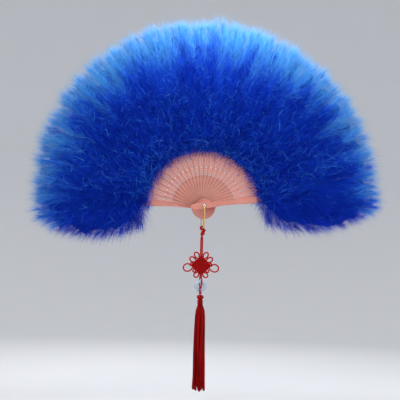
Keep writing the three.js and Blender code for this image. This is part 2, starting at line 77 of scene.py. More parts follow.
# Studio: a pale round cove under and around the fan, a broad lamp in front, a weaker one opposite, one above
# and behind that lights the tips of the down from the back, and a small one close over the crown.
COVE_FLOOR = -0.345
COVE_RADIUS = 2.6
COVE_BEND = 0.9
COVE_HEIGHT = 2.2
COVE_FLAT = 1.0
COVE_SIDES = 96
COVE_COLOUR = (0.75, 0.76, 0.78, 1)
LAMPS = {
    "front_lamp": {"at": (-1.1, -1.7, 1.3), "size": 1.4, "watts": 16.5, "tint": (1.0, 0.98, 0.95)},
    "side_lamp": {"at": (1.7, -1.1, 0.2), "size": 1.2, "watts": 7, "tint": (0.97, 0.98, 1.0)},
    "top_lamp": {"at": (0.15, 0.75, 1.35), "size": 0.9, "watts": 15, "tint": (1.0, 1.0, 1.0)},
    "crown_lamp": {"at": (0.03, -0.14, 0.68), "size": 0.4, "watts": 2.9, "tint": (1.0, 1.0, 1.0)},
}
LAMPS_AIM = Vector((0, 0, 0.05))
SKY_COLOUR = (0.93, 0.95, 1.0, 1)
SKY_STRENGTH = 0.5


def make_piece(name, shape, material, uv_name="UVMap"):
    """One smooth mesh object at the origin. Its shape is an array of points, the corner numbers of its quads
    and of its tris and, where it has a map, each point's place on that."""
    points, quads, tris, *uv = shape
    mesh = bpy.data.meshes.new(name)
    groups = [faces for faces in (quads, tris) if len(faces)]
    corners = np.concatenate([faces.ravel() for faces in groups]).astype(np.int32)
    sizes = np.concatenate([np.full(len(faces), faces.shape[1]) for faces in groups])
    starts = np.concatenate([[0], np.cumsum(sizes)[:-1]]).astype(np.int32)
    mesh.vertices.add(len(points))
    mesh.vertices.foreach_set("co", np.asarray(points, np.float32).ravel())
    mesh.loops.add(len(corners))
    mesh.loops.foreach_set("vertex_index", corners)
    mesh.polygons.add(len(sizes))
    mesh.polygons.foreach_set("loop_start", starts)
    if uv:
        layer = mesh.uv_layers.new(name=uv_name)
        layer.uv.foreach_set("vector", np.asarray(uv[0], np.float32)[corners].ravel())
    mesh.update(calc_edges=True)
    mesh.validate()
    mesh.shade_smooth()
    mesh.materials.append(material)
    piece = bpy.data.objects.new(name, mesh)
    bpy.context.scene.collection.objects.link(piece)
    return piece


def grid_quads(rows, columns):
    """Corner numbers of the quads between rings of points, row by row; the last column joins the first."""
    i, j = np.meshgrid(np.arange(rows - 1), np.arange(columns), indexing="ij")
    k = (j + 1) % columns
    corners = [i * columns + j, i * columns + k, (i + 1) * columns + k, (i + 1) * columns + j]
    return np.stack(corners, -1).reshape(-1, 4)


def ringed(rings):
    """Points, quads and end fans of a solid whose closed sections are the rings, each counter-clockwise as
    seen from the end ahead."""
    rows, columns = rings.shape[:2]
    points = np.concatenate([rings.reshape(-1, 3), rings[0].mean(0)[None], rings[-1].mean(0)[None]])
    first = np.arange(columns)
    last = first + (rows - 1) * columns
    middle = rows * columns
    fans = np.concatenate([
        np.stack([np.roll(first, -1), first, np.full(columns, middle)], -1),
        np.stack([last, np.roll(last, -1), np.full(columns, middle + 1)], -1),
    ])
    return points, grid_quads(rows, columns), fans


def turned(profile, sides, closed=False):
    """A profile of (radius, height) turned about +Z: each profile point is swept round a circle. A closed
    profile joins on to itself, and an open one is shut at both ends on the axis. Returns points, quads and
    end fans."""
    profile = np.asarray(profile, float)
    turn = np.linspace(0, 2 * np.pi, sides, endpoint=False)
    ring = np.stack([np.cos(turn), np.sin(turn)], -1)
    flat = profile[:, None, :1] * ring[None]
    height = np.broadcast_to(profile[:, None, 1:], (len(profile), sides, 1))
    rings = np.concatenate([flat, height], -1)
    if closed:
        quads = grid_quads(len(profile) + 1, sides) % (len(profile) * sides)
        return rings.reshape(-1, 3), quads, np.zeros((0, 3), int)
    return ringed(rings)


def finish_nodes(name):
    """A new material with its node tree and its Principled shader."""
    material = bpy.data.materials.new(name)
    material.use_nodes = True
    tree = material.node_tree
    return material, tree, tree.nodes["Principled BSDF"]


def set_inputs(node, **values):
    """Sets a node's inputs by name, with _ for each blank."""
    for name, value in values.items():
        node.inputs[name.replace("_", " ")].default_value = value


bend = np.linspace(0, np.pi / 2, 16)
cove_profile = np.concatenate([
    [[0.001, 0], [COVE_FLAT, 0]],
    np.stack([COVE_RADIUS - COVE_BEND + COVE_BEND * np.sin(bend), COVE_BEND - COVE_BEND * np.cos(bend)], -1),
    [[COVE_RADIUS, COVE_HEIGHT]],
])
cove_paint, tree, shader = finish_nodes("cove_paint")
set_inputs(shader, Base_Color=COVE_COLOUR, Roughness=0.9)
cove_points, cove_quads, cove_fans = turned(cove_profile + [0, COVE_FLOOR], COVE_SIDES)
floor_fan = cove_fans[:COVE_SIDES, ::-1]
make_piece("cove", (cove_points, cove_quads[:, ::-1], floor_fan), cove_paint)

for name, lamp in LAMPS.items():
    light = bpy.data.lights.new(name, "AREA")
    light.shape = "DISK"
    light.size = lamp["size"]
    light.energy = lamp["watts"]
    light.color = lamp["tint"]
    holder = bpy.data.objects.new(name, light)
    holder.location = lamp["at"]
    holder.rotation_mode = "QUATERNION"
    holder.rotation_quaternion = (LAMPS_AIM - holder.location).to_track_quat("-Z", "Y")
    bpy.context.scene.collection.objects.link(holder)

world = bpy.data.worlds.new("studio")
world.use_nodes = True
set_inputs(world.node_tree.nodes["Background"], Color=SKY_COLOUR, Strength=SKY_STRENGTH)
bpy.context.scene.world = world
bpy.context.scene.view_settings.view_transform = "Standard"


# Sticks: thin blades stamped from salmon-pink plastic, with a rounded head below the rivet, a narrow neck
# and a shoulder pierced by dots, a square, slits and slots; a tang runs on into the feathers. They turn on
# the rivet, each lapped by its neighbour in front.
STICK_COUNT = 23
STICK_STEP = 7.02
FRONT_GUARD_ANGLE = 8.9
FRONT_GUARD_GAP = 8.1
REAR_GUARD_GAP = 6.2
STICK_THICKNESS = 0.6 * MM
STICK_EDGE = 0.09 * MM
HEAD_TAPER = [(1, 0.02), (0.9, 0.55), (0.65, 0.97), (0.32, 1.08), (0, 1)]
STICK_STATIONS = [(15, 3.7), (36, 4.4), (51, 4.0), (92, 6.1), (99.5, 4.3), (178, 2.5)]
HEAD_REACH = 23.5
HEAD_HALF = 5.25
DOT_ROWS = [55.3, 58.4, 61.5, 64.6]
SQUARE_AT = 68.9
SLIT_ROWS = [72.4, 74.6, 76.8, 79.0, 81.2, 83.4]
SLOT_ROWS = [86.9, 90.1, 93.3]
DIAMOND_AT = 97.2
DOT_SIZE, DOT_WIDTH, DOT_SIDE = 1.8, 1.45, 1.4
SQUARE_SIZE = 3.2
SLIT_LENGTH, SLIT_WIDTH = 2.6, 0.85
SLOT_LENGTH, SLOT_WIDTH = 4.2, 1.2
DIAMOND_SIZE = 2.3
PIERCE_SLANT = 55
PIERCE_WEB = 1.3
RIB_FROM, RIB_TO, RIB_RUN = 13 * MM, 54.4 * MM, 5 * MM
RIB_HEIGHT = 0.28 * MM
RIB_MARGIN = 0.12 * MM
PINK = (0.74, 0.295, 0.232, 1)
PINK_SHADE = (0.65, 0.245, 0.19, 1)
# Painted shade: the colour that darkens the sticks towards their edges, standing in for the shade between the
# blades
EDGE_SHADE = (0.46, 0.33, 0.3, 1)
PLATE_SHADE_SHARE = 0.74
EDGE_SHADE_FROM = 0.42
SAME_POINT = 1e-7
STICK_CREASE = math.radians(35)
GRAIN_FINENESS = 9


def through(stations, count):
    """A smooth line through the stations: Catmull-Rom, paced by the square root of each step so that uneven
    steps make no loops, with count steps between two stations."""
    p = np.asarray(stations, float)
    p = np.concatenate([2 * p[:1] - p[1:2], p, 2 * p[-1:] - p[-2:-1]])
    pace = np.sqrt(np.linalg.norm(np.diff(p, axis=0), axis=1))[:, None]
    before, here, after = pace[:-2], pace[1:-1], pace[2:]
    a, b, c, d = p[:-3], p[1:-2], p[2:-1], p[3:]
    leave = here * ((b - a) / before - (c - a) / (before + here)) + c - b
    arrive = here * ((d - c) / after - (d - b) / (here + after)) + c - b
    t = np.linspace(0, 1, count, endpoint=False)[None, :, None]
    line = ((2 * t ** 3 - 3 * t ** 2 + 1) * b[:, None] + (t ** 3 - 2 * t ** 2 + t) * leave[:, None]
            + (3 * t ** 2 - 2 * t ** 3) * c[:, None] + (t ** 3 - t ** 2) * arrive[:, None])
    return np.concatenate([line.reshape(-1, p.shape[1]), p[-2:-1]])


def head_stations(reach, half):
    """Stations of the rounded head below the rivet, from its tip to the rivet."""
    return [(-reach * along, across * half) for along, across in HEAD_TAPER]


def to_row(local, angle, y):
    """From a leaf's own frame, x along the leaf, y deep and z across, to the open fan: a turn about Y."""
    c, s = math.cos(math.radians(angle)), math.sin(math.radians(angle))
    x, deep, z = np.moveaxis(np.asarray(local, float), -1, 0)
    return np.stack([c * x - s * z, deep + y, s * x + c * z], -1)


def hole(u, v, length, width, turn):
    """Corners of a four-sided hole at (u, v), turned from the blade's line."""
    c, s = math.cos(math.radians(turn)), math.sin(math.radians(turn))
    box = np.array([(-1, -1), (-1, 1), (1, 1), (1, -1)]) * [length / 2, width / 2]
    return box @ np.array([[c, s], [-s, c]]) + [u, v]


def slanted_pair(u, length, width, slant, web):
    """A hole on each side of the middle web, slanted towards it."""
    lean = math.radians(slant)
    v = (web + length * math.sin(lean) + width * math.cos(lean)) / 2
    return [hole(u, side * v, length, width, side * slant) for side in (-1, 1)]


def merge_points(mesh, triangles=False):
    """Makes points that coincide one, which drops faces that shrank to nothing, and turns all faces
    outwards."""
    work = bmesh.new()
    work.from_mesh(mesh)
    bmesh.ops.remove_doubles(work, verts=work.verts, dist=SAME_POINT)
    bmesh.ops.recalc_face_normals(work, faces=work.faces)
    if triangles:
        bmesh.ops.triangulate(work, faces=work.faces)
    work.to_mesh(mesh)
    work.free()


def stamped(name, outline, holes, thickness, edge):
    """A plate stamped from a flat outline with holes and eased edges: its points, as x along, y deep and z
    across, and its triangles."""
    curve = bpy.data.curves.new(name, "CURVE")
    curve.dimensions = "2D"
    curve.fill_mode = "BOTH"
    curve.extrude = thickness / 2 - edge
    curve.bevel_depth = edge
    curve.bevel_resolution = 1
    curve.offset = -edge
    for line in [outline] + holes:
        spline = curve.splines.new("POLY")
        spline.points.add(len(line) - 1)
        flat = np.zeros((len(line), 4))
        flat[:, :2] = np.asarray(line) * MM
        spline.points.foreach_set("co", flat.ravel())
        spline.use_cyclic_u = True
    holder = bpy.data.objects.new(name, curve)
    mesh = bpy.data.meshes.new_from_object(holder)
    bpy.data.objects.remove(holder)
    bpy.data.curves.remove(curve)
    merge_points(mesh, triangles=True)
    places = np.zeros(len(mesh.vertices) * 3)
    mesh.vertices.foreach_get("co", places)
    corners = np.zeros(len(mesh.loops), np.int32)
    mesh.loops.foreach_get("vertex_index", corners)
    bpy.data.meshes.remove(mesh)
    places = places.reshape(-1, 3)
    return np.stack([places[:, 0], -places[:, 2], places[:, 1]], -1), corners.reshape(-1, 3)


def add_node(tree, kind, **settings):
    """A node of that kind with its properties set; a key such as in_From_Min sets the input of that name."""
    node = tree.nodes.new(kind)
    for key, value in settings.items():
        if key.startswith("in_"):
            set_inputs(node, **{key[3:]: value})
        else:
            setattr(node, key, value)
    return node


def link(tree, *joints):
    """Joins sockets: each joint is a node, its output, the node that it feeds and that node's input."""
    for source, output, target, entry in joints:
        tree.links.new(source.outputs[output], target.inputs[entry])


# Mottling that several finishes share: a soft noise that mixes two colours and gives a value
mottle = bpy.data.node_groups.new("mottle", "ShaderNodeTree")
for label, way, kind in [
    ("Vector", "INPUT", "NodeSocketVector"), ("Colour", "INPUT", "NodeSocketColor"),
    ("Shade", "INPUT", "NodeSocketColor"), ("Scale", "INPUT", "NodeSocketFloat"),
    ("Colour", "OUTPUT", "NodeSocketColor"), ("Value", "OUTPUT", "NodeSocketFloat"),
]:
    mottle.interface.new_socket(name=label, in_out=way, socket_type=kind)
entry = add_node(mottle, "NodeGroupInput")
leave = add_node(mottle, "NodeGroupOutput")
noise = add_node(mottle, "ShaderNodeTexNoise", in_Detail=4.0, in_Roughness=0.6)
spread = add_node(mottle, "ShaderNodeMapRange", in_From_Min=0.35, in_From_Max=0.65)
mix = add_node(mottle, "ShaderNodeMix", data_type="RGBA")
link(mottle, (entry, "Vector", noise, "Vector"), (entry, "Scale", noise, "Scale"),
     (noise, "Fac", spread, "Value"), (spread, "Result", mix, "Factor"), (entry, "Colour", mix, "A"),
     (entry, "Shade", mix, "B"), (mix, "Result", leave, "Colour"), (spread, "Result", leave, "Value"))


def mottled(tree, shader, colour, shade, scale, rough, bump):
    """Base colour, roughness and a little bump from the mottling, on Object coordinates."""
    place = add_node(tree, "ShaderNodeTexCoord")
    group = add_node(tree, "ShaderNodeGroup", node_tree=mottle)
    set_inputs(group, Colour=colour, Shade=shade, Scale=scale)
    gloss = add_node(tree, "ShaderNodeMapRange", in_To_Min=rough[0], in_To_Max=rough[1])
    grain = add_node(tree, "ShaderNodeTexNoise", in_Scale=scale * GRAIN_FINENESS, in_Detail=3.0)
    relief = add_node(tree, "ShaderNodeBump", in_Strength=bump, in_Distance=0.0002)
    link(tree, (place, "Object", group, "Vector"), (group, "Colour", shader, "Base Color"),
         (group, "Value", gloss, "Value"), (gloss, "Result", shader, "Roughness"),
         (place, "Object", grain, "Vector"), (grain, "Fac", relief, "Height"),
         (relief, "Normal", shader, "Normal"))


def pink_finish(name):
    """Salmon plastic, slightly mottled and translucent: the material, its tree and its shader."""
    material, tree, shader = finish_nodes(name)
    mottled(tree, shader, PINK, PINK_SHADE, scale=60.0, rough=(0.36, 0.48), bump=0.12)
    set_inputs(shader, Subsurface_Weight=0.25, Subsurface_Radius=(1.0, 0.45, 0.35), Subsurface_Scale=0.0012)
    return material, tree, shader


pink_plastic = pink_finish("pink_plastic")[0]

# On the sticks the map's second axis runs from edge to edge: face and rib bulge slightly, and carry painted
# shade that darkens them towards their edges, standing in for the shade between the blades
pink_stick, tree, shader = pink_finish("pink_stick")
plain_colour = shader.inputs["Base Color"].links[0].from_socket
grain_normal = shader.inputs["Normal"].links[0].from_socket
blade_map = add_node(tree, "ShaderNodeUVMap", uv_map="UVMap")
split = add_node(tree, "ShaderNodeSeparateXYZ")
square = add_node(tree, "ShaderNodeMath", operation="MULTIPLY")
bulge = add_node(tree, "ShaderNodeBump", in_Strength=1.0, in_Distance=0.0007, invert=True)
edge_shading = add_node(tree, "ShaderNodeMapRange", interpolation_type="SMOOTHSTEP", in_From_Min=EDGE_SHADE_FROM)
edge_mix = add_node(tree, "ShaderNodeMix", data_type="RGBA", blend_type="MULTIPLY", in_B=EDGE_SHADE)
tree.links.new(plain_colour, edge_mix.inputs["A"])
tree.links.new(grain_normal, bulge.inputs["Normal"])
link(tree, (blade_map, "UV", split, "Vector"), (split, "Y", square, 0), (split, "Y", square, 1),
     (square, "Value", bulge, "Height"), (bulge, "Normal", shader, "Normal"),
     (square, "Value", edge_shading, "Value"), (edge_shading, "Result", edge_mix, "Factor"),
     (edge_mix, "Result", shader, "Base Color"))

stick_edge = through(head_stations(HEAD_REACH, HEAD_HALF) + STICK_STATIONS, 6)
stick_outline = np.concatenate([stick_edge * [1, -1], stick_edge[::-1]])
stick_holes = [hole(u, side * DOT_SIDE, DOT_SIZE, DOT_WIDTH, 0) for u in DOT_ROWS for side in (-1, 1)]
stick_holes.append(hole(SQUARE_AT, 0, SQUARE_SIZE, SQUARE_SIZE, 0))
for u in SLIT_ROWS:
    stick_holes += slanted_pair(u, SLIT_LENGTH, SLIT_WIDTH, PIERCE_SLANT, PIERCE_WEB)
for u in SLOT_ROWS:
    stick_holes += slanted_pair(u, SLOT_LENGTH, SLOT_WIDTH, PIERCE_SLANT, PIERCE_WEB)
stick_holes.append(hole(DIAMOND_AT, 0, DIAMOND_SIZE, DIAMOND_SIZE, 45))
plate_points, plate_tris = stamped("stick", stick_outline, stick_holes, STICK_THICKNESS, STICK_EDGE)


def half_width(u):
    """Half the stick's width at u, on straight lines between the points of its edge."""
    return np.interp(u, stick_edge[:, 0] * MM, stick_edge[:, 1] * MM)


def hub_rib():
    """The low rounded rib on the strip of a stick that its front neighbour leaves bare: its height is a half
    sine across the strip, eased in and out along the stick, and its foot lies inside the plate."""
    u = np.linspace(RIB_FROM, RIB_TO, 26)
    across = np.linspace(0, 1, 9)
    half = half_width(u) - RIB_MARGIN
    bare = u * math.radians(STICK_STEP)
    ease = np.clip(np.minimum(u - RIB_FROM, RIB_TO - u) / RIB_RUN, 0, 1)
    ease = ease * ease * (3 - 2 * ease)
    z = half[:, None] - bare[:, None] * (1 - across)
    rise = RIB_HEIGHT * ease[:, None] * np.sin(np.pi * across)
    foot = STICK_EDGE - STICK_THICKNESS / 2
    along = np.repeat(u[:, None], len(across), 1)
    crown = np.stack([along, -STICK_THICKNESS / 2 - rise, z], -1)
    base = np.stack([along, np.full_like(z, foot), z], -1)
    points, quads, fans = ringed(np.concatenate([crown, base[:, ::-1]], 1))
    edge = np.concatenate([2 * across - 1, 1 - 2 * across])
    uv = np.stack(np.broadcast_arrays(u[:, None], edge[None]), -1).reshape(-1, 2)
    return points, quads, fans, np.concatenate([uv, [[u[0], 0], [u[-1], 0]]])


rib_points, rib_quads, rib_fans, rib_uv = hub_rib()
# The plate's edge-to-edge map axis, scaled down so that its painted edge shade is weaker than on the ribs
plate_across = np.clip(plate_points[:, 2] / half_width(plate_points[:, 0]), -1, 1)
plate_uv = np.stack([plate_points[:, 0], PLATE_SHADE_SHARE * plate_across], -1)
stick_points = np.concatenate([plate_points, rib_points])
stick_quads = rib_quads + len(plate_points)
stick_tris = np.concatenate([plate_tris, rib_fans + len(plate_points)])
stick_uv = np.concatenate([plate_uv, rib_uv])

leaves = []
for k in range(STICK_COUNT):
    label = f"{k + 1:02d}"
    low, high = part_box("stick_" + label)
    leaves.append({"node": "stick_" + label, "plume": "plume_" + label, "body": "blade_" + label,
                   "y": (low.y + high.y) / 2, "angle": FRONT_GUARD_ANGLE + FRONT_GUARD_GAP + k * STICK_STEP})
for leaf in leaves:
    placed = to_row(stick_points, leaf["angle"], leaf["y"])
    piece = make_piece("pierced_" + leaf["node"], (placed, stick_quads, stick_tris, stick_uv), pink_stick)
    piece.data.set_sharp_from_angle(angle=STICK_CREASE)
    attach(piece, leaf["body"])
    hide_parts(leaf["node"])


# Guards: the two plain outer blades, moulded thicker in the same plastic, with bevelled edges and a long
# raised flat on the outer side. They turn on the rivet before and behind the sticks.
GUARD_THICKNESS = 1.6 * MM
GUARD_STATIONS = [(16, 4.7), (51, 4.2), (94, 6.2), (99.5, 4.3), (178, 3.0)]
GUARD_HEAD_REACH = 24.8
GUARD_HEAD_HALF = 5.2
GUARD_EDGE = 0.4 * MM
FLAT_FROM, FLAT_TO = 16 * MM, 94 * MM
FLAT_HEIGHT = 0.6 * MM
FLAT_BORDER = 0.8 * MM
FLAT_RUN = 4 * MM
FLAT_STEP = 0.3 * MM
LEAST_HALF, LEAST_FLAT = 0.25 * MM, 0.1 * MM
GUARD_CREASE = math.radians(25)


def guard_shape():
    """A section carried along the guard: a plate with eased edges whose outer side, at -y, steps up to the
    raised flat; half width and height of the flat are functions of the distance along the guard."""
    line = through(head_stations(GUARD_HEAD_REACH, GUARD_HEAD_HALF) + GUARD_STATIONS, 10) * MM
    close = np.linspace(0, FLAT_RUN, 9)
    along = np.unique(np.concatenate([line[:, 0], FLAT_FROM + close, FLAT_TO - close]))
    half = np.maximum(np.interp(along, line[:, 0], line[:, 1]), LEAST_HALF)
    ends = np.clip(np.minimum(along - FLAT_FROM, FLAT_TO - along) / FLAT_RUN, 0, 1)
    flat = np.maximum(half - FLAT_BORDER, LEAST_FLAT) * np.sqrt(ends)
    rise = FLAT_HEIGHT * np.clip(4 * ends, 0, 1)
    edge = np.minimum(GUARD_EDGE, half * 0.8)
    step = np.minimum(FLAT_STEP, flat)
    deep = np.full_like(half, GUARD_THICKNESS / 2)
    side = [(deep, half - edge), (deep - edge, half), (edge - deep, half), (-deep, half - edge),
            (-deep, flat), (-deep - rise, flat - step)]
    section = side + [(depth, -across) for depth, across in side[::-1]]
    return ringed(np.stack([np.stack([along, depth, across], -1) for depth, across in section], 1))


guard_points, guard_quads, guard_caps = guard_shape()
front_leaf = {"node": "front_guard", "plume": "plume_front", "body": "front_blade",
              "y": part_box("front_guard")[1].y - GUARD_THICKNESS / 2, "angle": FRONT_GUARD_ANGLE}
rear_leaf = {"node": "rear_guard", "plume": "plume_rear", "body": "rear_blade",
             "y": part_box("rear_guard")[0].y + GUARD_THICKNESS / 2,
             "angle": leaves[-1]["angle"] + REAR_GUARD_GAP}
for leaf, turn in ((front_leaf, [1, 1, 1]), (rear_leaf, [1, -1, -1])):
    placed = to_row(guard_points * turn, leaf["angle"], leaf["y"])
    piece = make_piece("moulded_" + leaf["node"], (placed, guard_quads, guard_caps), pink_plastic)
    merge_points(piece.data)
    piece.data.set_sharp_from_angle(angle=GUARD_CREASE)
    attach(piece, leaf["body"])
    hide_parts(leaf["node"])
leaves = [front_leaf] + leaves + [rear_leaf]


# Plumes: marabou, the soft down from under a wing, dyed blue. Each blade carries a bundle of feathers glued
# round its tang; every feather is a thin shaft with hundreds of limp barbs, and a guard's outer ones hang in
# a lobe.
PLUME_FROM = 101 * MM
PLUME_SEED = 100
REACH, REACH_UP, REACH_RIGHT = 311 * MM, 30 * MM, 11 * MM
REACH_UP_POWER = 0.75
OVERHANG = 2
DOWN_DEPTHS = [(0, 13), (0.2, 23), (0.45, 30), (0.75, 25), (1, 6)]
DOWN_FREE, DOWN_LIMIT = 30 * MM, 48 * MM
UNDERDOWN_SHARE, UNDERDOWN_WIDTH, UNDERDOWN_LUMPS = 0.6, 0.96, 0.12
UNDERDOWN_START, UNDERDOWN_RIM_GAP, UNDERDOWN_LOBE_GAP = 4 * MM, 34 * MM, 26 * MM
TANG_FROM, TANG_TO = 98 * MM, 172 * MM
LAYER_SHARE = 0.7
LAYER_FEATHERS, LAYER_FIRST_END, LAYER_RIM_GAP = 10, 136 * MM, 30 * MM
LAYER_LEAN, LAYER_LEAN_PLAY = 0.6, 0.22
ROOT_FEATHERS, ROOT_LENGTH, ROOT_STEP, ROOT_SIZE = 3, 26 * MM, 9 * MM, 0.5
FRONT_TUFTS, FRONT_TUFT_SIZE = np.linspace(100, 108, 8) * MM, 0.45
REAR_TUFTS, REAR_TUFT_SIZE = np.linspace(93, 106, 11) * MM, 0.6
TUFT_SHARE = 0.2
RIM_FEATHERS, RIM_GAP, RIM_ARCH, RIM_ROOTS, RIM_SHARE = 6, 24 * MM, 5 * MM, 20 * MM, 0.3
LOBE_FEATHERS, LOBE_START, LOBE_FIRST_END, LOBE_INSET = 13, 4 * MM, 110 * MM, 9 * MM
LOBE_ROWS, LOBE_THINNING, LOBE_SIZE = (0.36, 0.7, 1), 0.36, 0.95
LOBE_DROP, LOBE_SHIFT, LOBE_SPAN = 70 * MM, 0.12, 0.82
END_PLAY = 3 * MM
BARBS_PER_METRE = 2750
BARB_LENGTH = 29 * MM
BARB_RADIUS = 0.178 * MM
BARB_SWELL = 1.7
BARB_OPENING, TUFT_OPENING, TIP_OPENING, OPENING_PLAY = 60, 84, 19, 12
BARB_SIDE, BARB_SIDE_PLAY = 62, 36
BEND_ALONG, BEND_BACK, BEND_DOWN, BEND_PLAY = 0.8, 0.2, 0.1, 0.52
STRAY_SHARE, STRAY_LENGTH, STRAY_RADIUS = 0.09, 1.4, 0.65
RIM_PLAY = 9 * MM
RIM_BAND, RIM_BAND_TOP_LIT = 0.15, 0.12
ROOT_SHADE, RIM_SHADE, SHADE_PLAY = 0.1, 0.72, 0.15
TONE_PLAY, EARLY_PLAY = 0.085, 0.038
CURLS_PER_PLUME = 330
CURL_LENGTH = 21 * MM
CURL_BEND = 2.2
DEEP_BLUE = (0.0012, 0.010, 0.34, 1)
MIDDLE_BLUE = (0.004, 0.064, 0.80, 1)
BRIGHT_BLUE = (0.025, 0.18, 0.95, 1)
AZURE = (0.10, 0.47, 1.0, 1)
TIP_LIFT = 0.2


def unit(v):
    """Vectors of length one."""
    return v / np.linalg.norm(v, axis=-1, keepdims=True)


def down_depth(u, reach):
    """Half the depth of the down at u along the blade: straight lines between the listed shares."""
    stops = np.array(DOWN_DEPTHS)
    return np.interp((u - PLUME_FROM) / (reach - PLUME_FROM), stops[:, 0], stops[:, 1]) * MM


def lobe_drop(u, reach):
    """How far a guard's lobe hangs past its blade at u: a broad sine that is nearly full at once."""
    share = np.clip((u - PLUME_FROM) / (reach - PLUME_FROM), 0, 1)
    return LOBE_DROP * np.sin(np.pi * (LOBE_SHIFT + LOBE_SPAN * share)) ** 0.5


def underdown(reach, lobe, dice):
    """The matted heart of a plume, out of sight under the barbs: ellipses along the blade, made lumpy."""
    rows, sides = 20, 14
    u = np.linspace(PLUME_FROM + UNDERDOWN_START, reach - UNDERDOWN_RIM_GAP, rows)
    ends = np.clip(np.minimum(np.arange(rows), np.arange(rows)[::-1]) / 2.5, 0.05, 1) ** 0.5
    deep = UNDERDOWN_SHARE * down_depth(u, reach) * ends
    wide = u * math.tan(math.radians(STICK_STEP / 2)) * UNDERDOWN_WIDTH * ends
    hang = np.maximum(lobe_drop(u, reach) - UNDERDOWN_LOBE_GAP, 0) * ends * abs(lobe)
    turn = np.linspace(0, 2 * np.pi, sides, endpoint=False)
    lumps = 1 + UNDERDOWN_LUMPS * dice.normal(0, 1, (rows, sides))
    across = np.sin(turn)[None] * (wide + hang / 2)[:, None] * lumps + lobe * hang[:, None] / 2
    depth = np.cos(turn)[None] * deep[:, None] * lumps
    points, quads, fans = ringed(np.stack([np.repeat(u[:, None], sides, 1), depth, across], -1))
    flat = np.stack(np.meshgrid(np.linspace(0, 0.3, rows), np.linspace(0.01, 0.1, sides), indexing="ij"), -1)
    return points, quads, fans, np.concatenate([flat.reshape(-1, 2), [[0.01, 0.0], [0.3, 0.0]]])


def feather_set(*traits):
    """One row for each trait of a set of feathers; a single value counts for every feather of the set."""
    return np.stack(np.broadcast_arrays(*traits))


def feather_shafts(reach, edges, lobe, dice):
    """A plume's feathers: start and end along and across the blade, face, depth as a share of the plume's
    own, size of the barbs and how wide they stand at the root. Layers before and behind the tang step
    outwards between the plume's edges, short tufts and rows of down across the blade cover the ends of the
    sticks, a few feathers fill the rim, and on a guard rows of them reach down into the lobe."""
    low, high = (math.tan(math.radians(edge)) for edge in edges)
    middle, half = (low + high) / 2, (high - low) / 2
    sets = []
    for face in (-1, 1):
        rows = np.linspace(0, 1, LAYER_FEATHERS)
        start = TANG_FROM + (TANG_TO - TANG_FROM) * rows ** 1.25
        end = LAYER_FIRST_END + (reach - LAYER_RIM_GAP - LAYER_FIRST_END) * rows
        lean = LAYER_LEAN * face * (-1) ** np.arange(LAYER_FEATHERS)
        lean = lean + dice.normal(0, LAYER_LEAN_PLAY, LAYER_FEATHERS)
        size = 0.55 + 0.45 * np.minimum(1, 2 * rows)
        sets.append(feather_set(
            start, 0, end, end * (middle + half * lean), face, LAYER_SHARE, size, BARB_OPENING))
        rows = np.linspace(-1, 1, ROOT_FEATHERS)
        for start, share in ((TANG_FROM, 0.3), (TANG_FROM + ROOT_STEP, 0.5)):
            end = start + ROOT_LENGTH
            sets.append(feather_set(
                start, start * (middle + 0.8 * half * rows), end, end * (middle + half * rows), face, share,
                ROOT_SIZE, TUFT_OPENING))
    for face, tufts, size in ((-1, FRONT_TUFTS, FRONT_TUFT_SIZE), (1, REAR_TUFTS, REAR_TUFT_SIZE)):
        way = (-1.0) ** np.arange(len(tufts))
        sets.append(feather_set(
            tufts, tufts * (middle - half * way), tufts, tufts * (middle + half * way), face, TUFT_SHARE,
            size, TUFT_OPENING))
    rows = (2 * np.arange(RIM_FEATHERS) + 1) / RIM_FEATHERS - 1
    start = dice.uniform(TANG_TO - RIM_ROOTS, TANG_TO, RIM_FEATHERS)
    end = reach - RIM_GAP - RIM_ARCH * np.abs(rows)
    face = (-1) ** np.arange(RIM_FEATHERS)
    sets.append(feather_set(start, 0, end, end * (middle + half * rows), face, RIM_SHARE, 1, BARB_OPENING))
    if lobe:
        rows = np.linspace(0, 1, LOBE_FEATHERS)
        start = TANG_FROM + LOBE_START + (TANG_TO - TANG_FROM) * rows
        end = LOBE_FIRST_END + (reach - RIM_GAP - LOBE_FIRST_END) * rows
        hang = lobe * (lobe_drop(end, reach) - LOBE_INSET)
        for face in (-1, 1):
            for share in LOBE_ROWS:
                layer = LAYER_SHARE - LOBE_THINNING * share
                sets.append(feather_set(start, 0, end, share * hang, face, layer, LOBE_SIZE, BARB_OPENING))
    start, start_side, end, end_side, face, layer, size, opening = np.concatenate(sets, 1)
    return start, start_side, end + dice.normal(0, END_PLAY, len(end)), end_side, face, layer, size, opening


